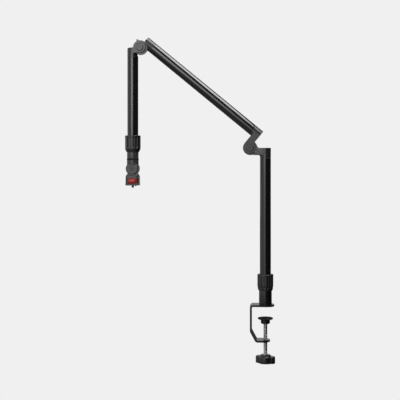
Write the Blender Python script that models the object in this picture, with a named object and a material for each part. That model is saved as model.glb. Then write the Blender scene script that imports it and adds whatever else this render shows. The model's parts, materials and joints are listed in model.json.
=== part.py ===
"""Desk-clamp boom arm for a microphone.

Metres, +Z up. The origin is on the post's axis, at the underside of the clamp's top plate, which
rests on the desk. The arm reaches towards -X, and the elbows turn about axes along Y.
"""

import math

import bmesh
import bpy
from mathutils import Matrix, Vector

MM = 0.001

# Clearances
GAP = 0.3 * MM                      # running and seating clearance
END_RELIEF = 0.5 * MM               # between two caps whose arms stand in line

# Tubes and the caps in their ends
TUBE_OD = 28.5 * MM
TUBE_WALL = 2.0 * MM
CAP_LENGTH = 25.7 * MM
SPIGOT_LENGTH = 22.0 * MM
POST_TOP = 410.0 * MM               # top plane of the post's cap, at the lower elbow's height
ARM_LENGTH = 388.5 * MM             # between the middle arm's two end planes
ARM_SLOPE = 39.5                    # degrees above level, rising towards -X
DROP_LENGTH = 244.25 * MM           # from the drop cap's end plane to the drop tube's lower end

# Elbows
ELBOW_HALF_DEPTH = 15.0 * MM
TONGUE_HALF = 7.0 * MM
TONGUE_STEP = 0.6 * MM              # its neck is thinner by this on each side
TONGUE_RADIUS = 18.8 * MM
EAR_RADIUS = 14.3 * MM
EAR_STEP = 0.4 * MM                 # the web behind an ear is thinner by this
LOWER_POST_OFFSET = 39.4 * MM       # post axis to the lower elbow's axis
LOWER_ARM_OFFSET = 40.0 * MM        # middle arm's axis to the lower elbow's axis
UPPER_OFFSET = 20.0 * MM            # middle arm's or drop arm's axis to the upper elbow's axis
KNUCKLE_HALF = 14.0 * MM            # half depth of the lower elbow's knuckle blocks
KNUCKLE_START = 11.0 * MM           # from the lower elbow's axis to the post's knuckle block
KNUCKLE_FILLET = 7.0 * MM           # between the tongue and the top of that block
SLEEVE_FILLET = 4.0 * MM            # between the underside of that block and the cap's sleeve
DROP_CAP_ROUND = 3.0 * MM           # outer corner of the drop cap's top
WASHER_THICKNESS = 0.8 * MM
WASHER_RADIUS = 13.0 * MM
PIVOT_RADIUS = 4.0 * MM
PIVOT_HEAD_RADIUS = 9.0 * MM
PIVOT_HEAD_HEIGHT = 3.2 * MM
PIVOT_SOCKET = 6.0 * MM             # hexagon socket, across flats
NUT_ACROSS = 13.0 * MM
NUT_HEIGHT = 4.5 * MM
NUT_POCKET_DEPTH = 3.6 * MM
NUT_COVER_RADIUS = 10.0 * MM
NUT_COVER_HEIGHT = 3.4 * MM
NUT_COVER_WALL = 1.4 * MM
STOP_LUG_REACH = 4.0 * MM
STOP_LUG_WIDTH = 4.0 * MM
STOP_LUG_ANGLE = 61.5               # degrees from square to the arm, towards its far end

# Grub screws that hold the caps
GRUB_RADIUS = 2.5 * MM
GRUB_LENGTH = 6.6 * MM
GRUB_SOCKET = 2.5 * MM
GRUB_SEAT = 7.3 * MM                # from the tube's axis to the grub screw's tip
GRUB_DISTANCE = 10.0 * MM           # beyond the cap's sleeve, along the tube

# Desk clamp strip
STRIP_WIDTH = 40.0 * MM
STRIP_THICKNESS = 5.0 * MM
STRIP_BACK = -40.0 * MM             # outer face of the upright strap
PLATE_REACH = 23.0 * MM
JAW_REACH = 12.0 * MM
THROAT = 86.4 * MM                  # inner height between plate and jaw
BEND_OUTER = 8.0 * MM
SLANT_TOP = -63.0 * MM              # where the strap starts to slant inwards
SLANT_FOOT = -23.5 * MM             # outer corner where the slant meets the jaw

# Post socket
SOCKET_OD = 33.0 * MM
SOCKET_HEIGHT = 52.7 * MM
SOCKET_FLOOR = 6.4 * MM
BASE_SCREW_CIRCLE = 10.5 * MM
BASE_SCREW_COUNT = 3
BASE_SCREW_RADIUS = 2.5 * MM
BASE_SCREW_HEAD_RADIUS = 4.6 * MM
BASE_SCREW_LENGTH = 10.3 * MM
BASE_SCREW_SOCKET = 3.0 * MM
THRUST_THICKNESS = 1.5 * MM
THRUST_BORE = 5.0 * MM
FOOT_FLANGE = 3.0 * MM
FOOT_SPIGOT = 20.0 * MM
FOOT_WALL = 3.0 * MM

# Twist collars
COLLAR_RIBS = 15
COLLAR_GROOVE_DEPTH = 1.3 * MM
COLLAR_GROOVE_SHARE = 0.36          # of each rib's pitch
COLLAR_LIP = 6.7 * MM
COLLAR_ROUND = 1.5 * MM             # outer corner of a collar's top
LOWER_COLLAR_OD = 41.4 * MM
LOWER_COLLAR_BELOW = 16.7 * MM      # below the socket's top
LOWER_COLLAR_ABOVE = 24.7 * MM
LOWER_COLLAR_TURN = -30.5           # degrees, one groove's direction from the front
UPPER_COLLAR_OD = 41.0 * MM
UPPER_COLLAR_BELOW = 28.9 * MM      # below the drop tube's end
UPPER_COLLAR_ABOVE = 14.5 * MM
UPPER_COLLAR_TURN = -8.2            # degrees, one groove's direction from the front
UPPER_COLLAR_TAPER = 4.2 * MM       # its lower end is smaller by this in radius
COLLET_HEIGHT = 16.0 * MM
COLLET_TAPER = 8.0 * MM
COLLET_LIP_WALL = 1.0 * MM
COLLET_SLIT = 2.0 * MM

# Head
NECK_OD = 30.2 * MM
NECK_BELOW = 45.8 * MM              # the neck's lower end below the drop tube's end
NECK_LENGTH = 18.6 * MM
NECK_SHOULDER = 11.2 * MM
NECK_SHOULDER_LENGTH = 3.0 * MM
STEM_RADIUS = 8.0 * MM
STEM_ABOVE = 21.5 * MM              # the stem's upper end above the drop tube's end
FERRULE_FLANGE = 16.0 * MM
FERRULE_SPIGOT = 18.0 * MM
CLIP_THICKNESS = 1.2 * MM
CLIP_RADIUS = 10.5 * MM
STEM_GROOVE = 7.0 * MM
STEM_SOCKET_DEPTH = 15.0 * MM
TRIM_RING_OD = 31.2 * MM
TRIM_RING_HEIGHT = 3.9 * MM
FORK_OD = 30.7 * MM
FORK_HEIGHT = 12.3 * MM
FORK_BOSS = 7.0 * MM
TILT_DROP = 9.8 * MM                # tilt axis below the fork's round base
TILT_EAR_RADIUS = 13.3 * MM
TILT_EAR_HALF_DEPTH = 12.8 * MM
TILT_EAR_STEP = 0.2 * MM            # the webs above the ears are narrower and thinner by this
TILT_TONGUE_RADIUS = 17.8 * MM
TILT_TONGUE_HALF = 6.0 * MM
TILT_WASHER = 0.6 * MM
TILT_WASHER_RADIUS = 11.0 * MM
TILT_BOLT_RADIUS = 3.0 * MM
TILT_HEAD_RADIUS = 5.2 * MM
TILT_HEAD_HEIGHT = 2.4 * MM
TILT_SOCKET = 4.0 * MM
TILT_NUT_ACROSS = 10.0 * MM
TILT_NUT_HEIGHT = 3.0 * MM

# Quick-release housing
HOUSING_WIDTH = 35.0 * MM
HOUSING_DEPTH = 34.0 * MM
HOUSING_HEIGHT = 31.2 * MM
HOUSING_CORNER = 6.0 * MM
HOUSING_SHOULDER = 14.3 * MM        # radius of its two shoulders
HOUSING_SHOULDER_HEIGHT = 11.3 * MM
HOUSING_FOOT = 1.2 * MM             # bevel along its underside
HOUSING_DROP = 12.5 * MM            # housing top below the tilt axis
BUTTON_WIDTH = 25.6 * MM
BUTTON_HEIGHT = 13.4 * MM
BUTTON_PROUD = 1.4 * MM
BUTTON_TRAVEL = 2.5 * MM
BUTTON_CORNER = 3.5 * MM
BUTTON_BOTTOM = 4.8 * MM            # above the housing's underside
LATCH_THICKNESS = 2.4 * MM
LATCH_WIDTH = 21.6 * MM
LATCH_REACH = 10.0 * MM             # behind the plug's axis
LATCH_WALL = 0.9 * MM               # between the plate's near edge and its hole
LATCH_HEIGHT = 7.3 * MM             # underside of the latch plate above the housing's underside
SPRING_RADIUS = 2.2 * MM
SPRING_WIRE = 0.8 * MM
SPRING_POCKET_WALL = 1.3 * MM       # housing left behind the spring
PLUG_RADIUS = 8.0 * MM
PLUG_GROOVE_RADIUS = 6.5 * MM
PLUG_HEIGHT = 17.0 * MM
PLUG_FLANGE_RADIUS = 13.0 * MM
PLUG_FLANGE = 2.6 * MM
STUD_RADIUS = 3.175 * MM            # 1/4-inch thread
STUD_LENGTH = 6.1 * MM              # below the housing
STUD_SEAT = 6.0 * MM
PIN_RADIUS = 1.5 * MM
PIN_LENGTH = 2.2 * MM
PIN_SEAT = 2.0 * MM
PIN_OFFSET = 7.6 * MM

# Clamp screw, pad and knob
PAD_TOP = -30.2 * MM
PAD_RADIUS = 20.0 * MM
PAD_LINER = 1.3 * MM
PAD_LINER_INSET = 0.8 * MM
PAD_RIM = 1.2 * MM
PAD_SLOPE = 3.6 * MM                # the underside falls by this from the rim to the hub
PAD_HUB_RADIUS = 11.75 * MM
PAD_HUB_LENGTH = 7.7 * MM
PAD_CONE = 2.0 * MM
PAD_CONE_INSET = 4.0 * MM
SCREW_RADIUS = 5.0 * MM
RIVET_PIN_RADIUS = 3.2 * MM
RIVET_HEAD_RADIUS = 5.6 * MM
RIVET_HEAD_HEIGHT = 1.4 * MM
KNOB_TOP = -126.0 * MM
KNOB_HEIGHT = 21.5 * MM
KNOB_HUB_RADIUS = 13.3 * MM
KNOB_HUB_HEIGHT = 3.5 * MM
KNOB_BODY_RADIUS = 19.0 * MM
KNOB_WING_CENTRE = 17.0 * MM
KNOB_WING_RADIUS = 9.0 * MM
KNOB_TURN = -18.0                   # degrees, the wings' direction from +X
SCREW_HEAD_ACROSS = 16.0 * MM
SCREW_HEAD_HEIGHT = 6.1 * MM
KNOB_POCKET = 8.5 * MM              # top of the screw's head above the knob's underside
KNOB_CAP_THICKNESS = 1.8 * MM
KNOB_CAP_INSET = 0.4 * MM

# Sides of round pieces
SIDES_DISC = 44
SIDES_LARGE = 28
SIDES_MEDIUM = 16
SIDES_SMALL = 10

# Places worked out from the sizes above
TUBE_RADIUS = TUBE_OD / 2
TUBE_BORE = TUBE_RADIUS - TUBE_WALL
SPIGOT_RADIUS = TUBE_BORE - GAP
EAR_INNER = TONGUE_HALF + WASHER_THICKNESS + 2 * GAP
TILT_EAR_INNER = TILT_TONGUE_HALF + TILT_WASHER + 2 * GAP
slope = math.radians(ARM_SLOPE)
ARM_OUT = Vector((-math.cos(slope), 0, math.sin(slope)))      # from the lower to the upper elbow
ARM_UP = Vector((math.sin(slope), 0, math.cos(slope)))        # square to it, upwards
LOWER_ELBOW = Vector((-LOWER_POST_OFFSET, 0, POST_TOP))
ARM_LOWER_END = LOWER_ELBOW + ARM_UP * LOWER_ARM_OFFSET
ARM_UPPER_END = ARM_LOWER_END + ARM_OUT * ARM_LENGTH
UPPER_ELBOW = ARM_UPPER_END - ARM_UP * UPPER_OFFSET
DROP_TOP = Vector((UPPER_ELBOW.x - UPPER_OFFSET, 0, UPPER_ELBOW.z))
DROP_X = DROP_TOP.x
DROP_END = DROP_TOP.z - DROP_LENGTH
NECK_BOTTOM = DROP_END - NECK_BELOW
STEM_TOP = DROP_END + STEM_ABOVE
UPPER_COLLAR_BOTTOM = DROP_END - UPPER_COLLAR_BELOW
UPPER_COLLAR_TOP = DROP_END + UPPER_COLLAR_ABOVE
FORK_TOP = NECK_BOTTOM - GAP - TRIM_RING_HEIGHT - GAP
FORK_BASE = FORK_TOP - FORK_HEIGHT
TILT_Z = FORK_BASE - TILT_DROP
HOUSING_TOP = TILT_Z - HOUSING_DROP
HOUSING_BOTTOM = HOUSING_TOP - HOUSING_HEIGHT
LATCH_NEAR = -(PLUG_RADIUS + GAP + BUTTON_TRAVEL + LATCH_WALL)
BUTTON_BACK = LATCH_NEAR - GAP
KNUCKLE_REACH = math.sqrt((TONGUE_RADIUS + KNUCKLE_FILLET) ** 2 - KNUCKLE_FILLET ** 2)
SOCKET_BOTTOM = STRIP_THICKNESS + GAP
SOCKET_TOP = SOCKET_BOTTOM + SOCKET_HEIGHT
LOWER_COLLAR_BOTTOM = SOCKET_TOP - LOWER_COLLAR_BELOW
LOWER_COLLAR_TOP = SOCKET_TOP + LOWER_COLLAR_ABOVE
THRUST_BOTTOM = SOCKET_BOTTOM + SOCKET_FLOOR + GAP
FOOT_BOTTOM = THRUST_BOTTOM + THRUST_THICKNESS + GAP
POST_TUBE_BOTTOM = FOOT_BOTTOM + FOOT_FLANGE + GAP


def clear_scene():
    for thing in list(bpy.data.objects):
        bpy.data.objects.remove(thing, do_unlink=True)


def material(name, colour, roughness, metallic):
    made = bpy.data.materials.new(name)
    made.use_nodes = True
    shader = made.node_tree.nodes["Principled BSDF"]
    shader.inputs["Base Color"].default_value = (*colour, 1)
    shader.inputs["Roughness"].default_value = roughness
    shader.inputs["Metallic"].default_value = metallic
    return made


def make_materials():
    return {
        "tube": material("black_anodised_aluminium", (0.020, 0.020, 0.021), 0.28, 0.6),
        "casting": material("powder_coated_casting", (0.040, 0.040, 0.042), 0.55, 0.2),
        "strip": material("powder_coated_steel", (0.022, 0.022, 0.023), 0.40, 0.3),
        "collar": material("black_nylon", (0.022, 0.022, 0.022), 0.45, 0.0),
        "rubber": material("black_rubber", (0.010, 0.010, 0.010), 0.75, 0.0),
        "plastic": material("black_plastic", (0.018, 0.018, 0.018), 0.35, 0.0),
        "steel": material("zinc_plated_steel", (0.55, 0.55, 0.54), 0.30, 1.0),
        "dark_steel": material("black_oxide_steel", (0.045, 0.045, 0.047), 0.40, 0.8),
        "liner": material("white_nylon", (0.70, 0.69, 0.66), 0.50, 0.0),
        "red": material("red_plastic", (0.40, 0.030, 0.025), 0.35, 0.0),
    }


def object_from(bm, name, slot, place=None):
    """A bmesh becomes a smooth-shaded object at its place."""
    bmesh.ops.recalc_face_normals(bm, faces=bm.faces)
    mesh = bpy.data.meshes.new(name)
    bm.to_mesh(mesh)
    bm.free()
    mesh.materials.append(slots[slot])
    shade(mesh)
    made = bpy.data.objects.new(name, mesh)
    bpy.context.scene.collection.objects.link(made)
    if place is not None:
        made.matrix_world = place
    return made


def shade(mesh):
    mesh.shade_smooth()
    mesh.set_sharp_from_angle(angle=math.radians(35))


def ring(bm, radius, height, sides, start=0.0, sweep=math.tau):
    """One circle of vertices about Z. A part sweep also has its last point."""
    count = sides if sweep >= math.tau else sides + 1
    step = sweep / sides
    return [
        bm.verts.new((radius * math.cos(start + i * step), radius * math.sin(start + i * step), height))
        for i in range(count)
    ]


def bridge(bm, low, high):
    """Faces between two rows of vertices round Z."""
    for i, vertex in enumerate(low):
        j = (i + 1) % len(low)
        bm.faces.new((vertex, low[j], high[j], high[i]))


def turned(name, slot, profile, sides=SIDES_LARGE, place=None):
    """A closed profile of (radius, height) points turned about Z, with a hole along the axis."""
    bm = bmesh.new()
    rows = [ring(bm, radius, height, sides) for radius, height in profile]
    for low, high in zip(rows, rows[1:] + rows[:1]):
        bridge(bm, low, high)
    return object_from(bm, name, slot, place)


def turned_solid(name, slot, profile, sides=SIDES_LARGE, place=None):
    """A profile of (radius, height) points turned about Z and closed by a flat face at both ends."""
    bm = bmesh.new()
    rows = [ring(bm, radius, height, sides) for radius, height in profile]
    for low, high in zip(rows, rows[1:]):
        bridge(bm, low, high)
    bm.faces.new(rows[0])
    bm.faces.new(rows[-1])
    return object_from(bm, name, slot, place)


def annulus(inner, outer, bottom, top):
    return [(inner, bottom), (outer, bottom), (outer, top), (inner, top)]


def split_ring(name, slot, profile, slit, sides, place=None):
    """A closed profile swept almost a full turn about Z, with flat ends on both sides of the slit."""
    mean = sum(radius for radius, _ in profile) / len(profile)
    half = slit / mean / 2
    bm = bmesh.new()
    rows = [ring(bm, radius, height, sides, half, math.tau - 2 * half) for radius, height in profile]
    for low, high in zip(rows, rows[1:] + rows[:1]):
        for i in range(sides):
            bm.faces.new((low[i], low[i + 1], high[i + 1], high[i]))
    for end in (0, sides):
        bm.faces.new([row[end] for row in rows])
    return object_from(bm, name, slot, place)


def prism(name, slot, outline, low, high, place=None):
    """An outline of (x, y) points carried along Z from low to high."""
    bm = bmesh.new()
    face = bm.faces.new([bm.verts.new((x, y, low)) for x, y in outline])
    lifted = bmesh.ops.extrude_face_region(bm, geom=[face])
    moved = [item for item in lifted["geom"] if isinstance(item, bmesh.types.BMVert)]
    bmesh.ops.translate(bm, verts=moved, vec=(0, 0, high - low))
    return object_from(bm, name, slot, place)


def side_prism(name, slot, outline, near, far, place=None):
    """An outline of (x, z) points carried along Y from near to far."""
    bm = bmesh.new()
    face = bm.faces.new([bm.verts.new((x, near, z)) for x, z in outline])
    lifted = bmesh.ops.extrude_face_region(bm, geom=[face])
    moved = [item for item in lifted["geom"] if isinstance(item, bmesh.types.BMVert)]
    bmesh.ops.translate(bm, verts=moved, vec=(0, far - near, 0))
    return object_from(bm, name, slot, place)


def block(name, slot, low, high, place=None):
    outline = [(low[0], low[1]), (high[0], low[1]), (high[0], high[1]), (low[0], high[1])]
    return prism(name, slot, outline, low[2], high[2], place)


def rod(name, slot, radius, low, high, place=None, sides=SIDES_MEDIUM):
    return turned_solid(name, slot, [(radius, low), (radius, high)], sides, place)


def hexagon(flats):
    """Corners of a hexagon, from its size across flats."""
    return arc((0, 0), flats / math.sqrt(3), 0, 300, 5)


def tool_prism(outline, low, high, place=None):
    return prism("tool", "steel", outline, low, high, place)


def tool_rod(radius, low, high, place=None, sides=SIDES_LARGE):
    return rod("tool", "steel", radius, low, high, place, sides)


def tool_block(low, high, place=None):
    return block("tool", "steel", low, high, place)


def arc(centre, radius, start, end, steps):
    """Points along an arc, angles in degrees."""
    angles = [math.radians(start + (end - start) * i / steps) for i in range(steps + 1)]
    return [(centre[0] + radius * math.cos(a), centre[1] + radius * math.sin(a)) for a in angles]


def rounded_rectangle(width, height, radius, steps=4):
    x, y = width / 2 - radius, height / 2 - radius
    return (
        arc((x, y), radius, 0, 90, steps)
        + arc((-x, y), radius, 90, 180, steps)
        + arc((-x, -y), radius, 180, 270, steps)
        + arc((x, -y), radius, 270, 360, steps)
    )


def combine(target, tools, operation):
    """Boolean of target with each tool in turn. The tools are used up."""
    own = target.data.materials[0]
    for tool in tools:
        step = target.modifiers.new("combine", "BOOLEAN")
        step.operation = operation
        step.object = tool
        bpy.context.view_layer.update()
        graph = bpy.context.evaluated_depsgraph_get()
        mesh = bpy.data.meshes.new_from_object(target.evaluated_get(graph))
        target.modifiers.clear()
        target.data = mesh
        bpy.data.objects.remove(tool, do_unlink=True)
    target.data.materials.clear()
    target.data.materials.append(own)
    target.data.polygons.foreach_set("material_index", [0] * len(target.data.polygons))
    shade(target.data)
    return target


def cut(target, *tools):
    return combine(target, tools, "DIFFERENCE")


def join(target, *tools):
    return combine(target, tools, "UNION")


def keep_common(target, *tools):
    return combine(target, tools, "INTERSECT")


def at(x, y, z):
    return Matrix.Translation((x, y, z))


def across(x, z, frame=None):
    """A place whose local +Z lies along +Y of the frame, at (x, z) in it."""
    place = Matrix.Translation((x, 0, z)) @ Matrix.Rotation(math.radians(-90), 4, "X")
    return place if frame is None else frame @ place


def frame_of(origin, x_axis, z_axis):
    y_axis = z_axis.cross(x_axis)
    turn = Matrix((x_axis, y_axis, z_axis)).transposed().to_4x4()
    return Matrix.Translation(origin) @ turn


def body(name, place, pieces):
    """An empty on the body's joint axis carries its pieces."""
    holder = bpy.data.objects.new("body_" + name, None)
    holder.empty_display_size = 20 * MM
    bpy.context.scene.collection.objects.link(holder)
    holder.location = place
    bpy.context.view_layer.update()
    for piece in pieces:
        piece.parent = holder
        piece.matrix_parent_inverse = holder.matrix_world.inverted()
    return holder


# Desk clamp
def strip_outline(path, bend, thickness, steps=5):
    """The outline of a strip bent along a path, with the same centre radius at every bend."""
    half = thickness / 2
    left_side, right_side = [], []
    points = [Vector(point) for point in path]

    def add(centre, normal):
        left_side.append(tuple(centre + normal * half))
        right_side.append(tuple(centre - normal * half))

    for i, point in enumerate(points):
        if i == 0 or i == len(points) - 1:
            along = (points[1] - points[0]) if i == 0 else (points[-1] - points[-2])
            along.normalize()
            add(point, Vector((-along.y, along.x)))
            continue
        before = (point - points[i - 1]).normalized()
        after = (points[i + 1] - point).normalized()
        turn = math.atan2(before.x * after.y - before.y * after.x, before.dot(after))
        hand = math.copysign(1, turn)
        start_normal = Vector((-before.y, before.x))
        centre = point - before * bend * math.tan(abs(turn) / 2) + start_normal * bend * hand
        for step in range(steps + 1):
            angle = turn * step / steps
            cosine, sine = math.cos(angle), math.sin(angle)
            normal = Vector((
                start_normal.x * cosine - start_normal.y * sine,
                start_normal.x * sine + start_normal.y * cosine,
            ))
            add(centre - normal * bend * hand, normal)
    return left_side + right_side[::-1]


def tool_round_end(centre, low, high):
    """Leaves a strip with a semicircular end towards +X."""
    half = STRIP_WIDTH / 2
    far = 2 * half
    outline = [(centre + far, far), (centre, far), (centre, half + 1 * MM)]
    outline += arc((centre, 0), half, 90, -90, 16)
    outline += [(centre, -half - 1 * MM), (centre, -far), (centre + far, -far)]
    return tool_prism(outline, low, high)


def base_screw_places():
    angles = [math.radians(90 + 360 * i / BASE_SCREW_COUNT) for i in range(BASE_SCREW_COUNT)]
    return [(BASE_SCREW_CIRCLE * math.cos(a), BASE_SCREW_CIRCLE * math.sin(a)) for a in angles]


def make_clamp_frame():
    mid = STRIP_THICKNESS / 2
    strap = STRIP_BACK + mid
    jaw = -THROAT - mid
    path = [(PLATE_REACH, mid), (strap, mid), (strap, SLANT_TOP), (SLANT_FOOT, jaw), (JAW_REACH, jaw)]
    half = STRIP_WIDTH / 2
    outline = strip_outline(path, BEND_OUTER - mid, STRIP_THICKNESS)
    frame = side_prism("clamp_frame", "strip", outline, -half, half)
    margin = 1 * MM
    cut(
        frame,
        tool_round_end(PLATE_REACH - half, -margin, STRIP_THICKNESS + margin),
        tool_round_end(JAW_REACH - half, -THROAT - STRIP_THICKNESS - margin, -THROAT + margin),
        tool_rod(SCREW_RADIUS + GAP, -THROAT - 2 * STRIP_THICKNESS, -THROAT + margin, None, SIDES_MEDIUM),
    )
    shank = BASE_SCREW_RADIUS + GAP
    sink_end = GAP + BASE_SCREW_HEAD_RADIUS - BASE_SCREW_RADIUS
    for x, y in base_screw_places():
        sink = [(shank + sink_end + margin, -margin), (shank, sink_end), (shank, STRIP_THICKNESS + margin)]
        cut(frame, turned_solid("tool", "steel", sink, SIDES_SMALL, at(x, y, 0)))
    return frame


def make_base_socket():
    socket = rod("base_socket", "casting", SOCKET_OD / 2, SOCKET_BOTTOM, SOCKET_TOP, None, SIDES_LARGE)
    cut(socket, tool_rod(TUBE_RADIUS + GAP, SOCKET_BOTTOM + SOCKET_FLOOR, SOCKET_TOP + 1 * MM))
    for x, y in base_screw_places():
        hole = tool_rod(
            BASE_SCREW_RADIUS + GAP, 0, SOCKET_BOTTOM + SOCKET_FLOOR + 1 * MM, at(x, y, 0), SIDES_SMALL
        )
        cut(socket, hole)
    return socket


def make_base_screws():
    screws = []
    taper = BASE_SCREW_HEAD_RADIUS - BASE_SCREW_RADIUS
    for number, (x, y) in enumerate(base_screw_places(), 1):
        profile = [
            (BASE_SCREW_HEAD_RADIUS, 0), (BASE_SCREW_RADIUS, taper), (BASE_SCREW_RADIUS, BASE_SCREW_LENGTH)
        ]
        place = at(x, y, GAP)
        screw = turned_solid(f"base_screw_{number}", "dark_steel", profile, SIDES_SMALL, place)
        cut(screw, tool_prism(hexagon(BASE_SCREW_SOCKET), -1 * MM, 1.6 * MM, place))
        screws.append(screw)
    return screws


def make_thrust_washer():
    profile = annulus(THRUST_BORE, TUBE_RADIUS - 0.15 * MM, THRUST_BOTTOM, THRUST_BOTTOM + THRUST_THICKNESS)
    return turned("thrust_washer", "liner", profile, SIDES_MEDIUM)


def make_lower_collet():
    bore = TUBE_RADIUS + GAP
    bottom = SOCKET_TOP + GAP
    top = bottom + COLLET_HEIGHT
    profile = [
        (bore, bottom), (SOCKET_OD / 2, bottom), (SOCKET_OD / 2, top - COLLET_TAPER),
        (bore + COLLET_LIP_WALL, top), (bore, top),
    ]
    return split_ring("lower_collet", "liner", profile, COLLET_SLIT, SIDES_LARGE)


# Twist collars
def ribbed_collar(name, outside, inside, first_groove, place):
    """A turned collar with lengthwise grooves.

    outside is a list of (radius, height, share of the groove's depth), inside a list of
    (radius, height). first_groove is the angle of one groove in degrees.
    """
    pitch = math.tau / COLLAR_RIBS
    half = COLLAR_GROOVE_SHARE / 2
    columns = []
    for rib in range(COLLAR_RIBS):
        middle = math.radians(first_groove) + rib * pitch
        for offset, depth in ((-half, 0), (-half / 2, 1), (half / 2, 1), (half, 0)):
            columns.append((middle + offset * pitch, depth * COLLAR_GROOVE_DEPTH))
    bm = bmesh.new()
    rows = []
    for radius, height, share in outside:
        reaches = [(a, radius - depth * share) for a, depth in columns]
        rows.append([bm.verts.new((reach * math.cos(a), reach * math.sin(a), height)) for a, reach in reaches])
    for radius, height in inside:
        rows.append([bm.verts.new((radius * math.cos(a), radius * math.sin(a), height)) for a, _ in columns])
    for low, high in zip(rows, rows[1:] + rows[:1]):
        bridge(bm, low, high)
    return object_from(bm, name, "collar", place)


def make_lower_collar():
    radius = LOWER_COLLAR_OD / 2
    bottom, top = LOWER_COLLAR_BOTTOM, LOWER_COLLAR_TOP
    outside = [
        (radius - 2.6 * MM, bottom, 0), (radius - 1.5 * MM, bottom + 1.2 * MM, 0),
        (radius - 1.0 * MM, bottom + 4.8 * MM, 0), (radius - 0.7 * MM, bottom + 7.5 * MM, 1),
        (radius, bottom + 13.5 * MM, 1), (radius, top - 6 * MM, 1), (radius, top - 3 * MM, 0),
        (radius, top - COLLAR_ROUND, 0), (radius - COLLAR_ROUND, top, 0),
    ]
    lip = TUBE_RADIUS + 0.4 * MM
    wide = SOCKET_OD / 2 + GAP
    collet_top = SOCKET_TOP + GAP + COLLET_HEIGHT
    inside = [
        (lip, top), (lip, top - COLLAR_LIP), (TUBE_RADIUS + GAP + COLLET_LIP_WALL + GAP, collet_top + 0.9 * MM),
        (wide, collet_top - COLLET_TAPER), (wide, bottom),
    ]
    return ribbed_collar("lower_collar", outside, inside, -90 + LOWER_COLLAR_TURN, None)


def make_upper_collar():
    radius = UPPER_COLLAR_OD / 2
    bottom, top = UPPER_COLLAR_BOTTOM, UPPER_COLLAR_TOP
    outside = [
        (radius - UPPER_COLLAR_TAPER, bottom, 0), (radius - 0.4 * MM, bottom + 7.4 * MM, 0),
        (radius, bottom + 9 * MM, 0), (radius, bottom + 12 * MM, 1), (radius, top - 6 * MM, 1),
        (radius, top - 3 * MM, 0), (radius, top - COLLAR_ROUND, 0), (radius - COLLAR_ROUND, top, 0),
    ]
    wide = NECK_OD / 2 + GAP
    lip = TUBE_RADIUS + 0.4 * MM
    shoulder = NECK_SHOULDER + 0.4 * MM
    neck_top = bottom + 2 * MM
    inside = [
        (lip, top), (lip, DROP_END + 1.7 * MM), (wide, DROP_END + GAP),
        (wide, neck_top + 8.6 * MM), (shoulder, neck_top + 2.6 * MM), (shoulder, neck_top), (wide, neck_top),
        (wide, bottom),
    ]
    return ribbed_collar("upper_collar", outside, inside, -90 + UPPER_COLLAR_TURN, at(DROP_X, 0, 0))


# Tubes
def make_tube(name, place, low, high, grub_heights):
    tube = turned(name, "tube", annulus(TUBE_BORE, TUBE_RADIUS, low, high), SIDES_LARGE, place)
    for height in grub_heights:
        hole = tool_rod(
            GRUB_RADIUS + GAP, TUBE_BORE - 2 * MM, TUBE_RADIUS + 2 * MM, across(0, height, place), SIDES_SMALL
        )
        cut(tube, hole)
    return tube


def make_post_foot():
    foot_top = FOOT_BOTTOM + FOOT_FLANGE + FOOT_SPIGOT
    bore = SPIGOT_RADIUS - FOOT_WALL
    profile = [
        (TUBE_RADIUS, FOOT_BOTTOM), (TUBE_RADIUS, FOOT_BOTTOM + FOOT_FLANGE),
        (SPIGOT_RADIUS, FOOT_BOTTOM + FOOT_FLANGE), (SPIGOT_RADIUS, foot_top), (bore, foot_top),
        (bore, FOOT_BOTTOM + FOOT_FLANGE),
    ]
    return turned_solid("post_foot", "plastic", profile, SIDES_MEDIUM)


def make_drop_ferrule():
    bore = STEM_RADIUS + GAP
    flange = DROP_END - GAP
    profile = [
        (bore, flange - FERRULE_FLANGE), (NECK_OD / 2, flange - FERRULE_FLANGE), (NECK_OD / 2, flange),
        (SPIGOT_RADIUS, flange), (SPIGOT_RADIUS, flange + FERRULE_SPIGOT), (bore, flange + FERRULE_SPIGOT),
    ]
    return turned("drop_ferrule", "casting", profile, SIDES_MEDIUM, at(DROP_X, 0, 0))


def make_upper_collet():
    bore = STEM_RADIUS + GAP
    cone_low = UPPER_COLLAR_BOTTOM + 5 * MM
    ferrule = DROP_END - GAP - FERRULE_FLANGE
    profile = [
        (bore, cone_low), (NECK_SHOULDER + 0.2 * MM, cone_low), (NECK_OD / 2 - 0.1 * MM, cone_low + 5.8 * MM),
        (NECK_OD / 2 - 0.1 * MM, ferrule - GAP), (bore, ferrule - GAP),
    ]
    return split_ring("upper_collet", "liner", profile, COLLET_SLIT, SIDES_MEDIUM, at(DROP_X, 0, 0))


# Caps in the tubes' ends. A cap is modelled in its own frame, where the tube runs towards -Z and
# the elbow's axis is parallel to Y at x = hinge, and then moved to its place.
def cap_blank(name, corner=0.0, end=0.0):
    """The sleeve, as wide as the tube and a little too long, and the spigot that goes into the tube.

    corner is the radius of the sleeve's outer corner at its end plane.
    """
    profile = [
        (SPIGOT_RADIUS - 0.8 * MM, -CAP_LENGTH - SPIGOT_LENGTH),
        (SPIGOT_RADIUS, -CAP_LENGTH - SPIGOT_LENGTH + 0.8 * MM),
        (SPIGOT_RADIUS, -CAP_LENGTH), (TUBE_RADIUS, -CAP_LENGTH),
    ]
    if corner:
        profile += arc((TUBE_RADIUS - corner, end - corner), corner, 0, 90, 4)
    profile.append((TUBE_RADIUS - corner, 2 * MM))
    return turned_solid(name, "casting", profile)


def face_off(cap, end):
    """Cut everything above one plane."""
    reach = 80 * MM
    return cut(cap, tool_block((-reach, -reach, end), (reach, reach, reach)))


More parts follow.
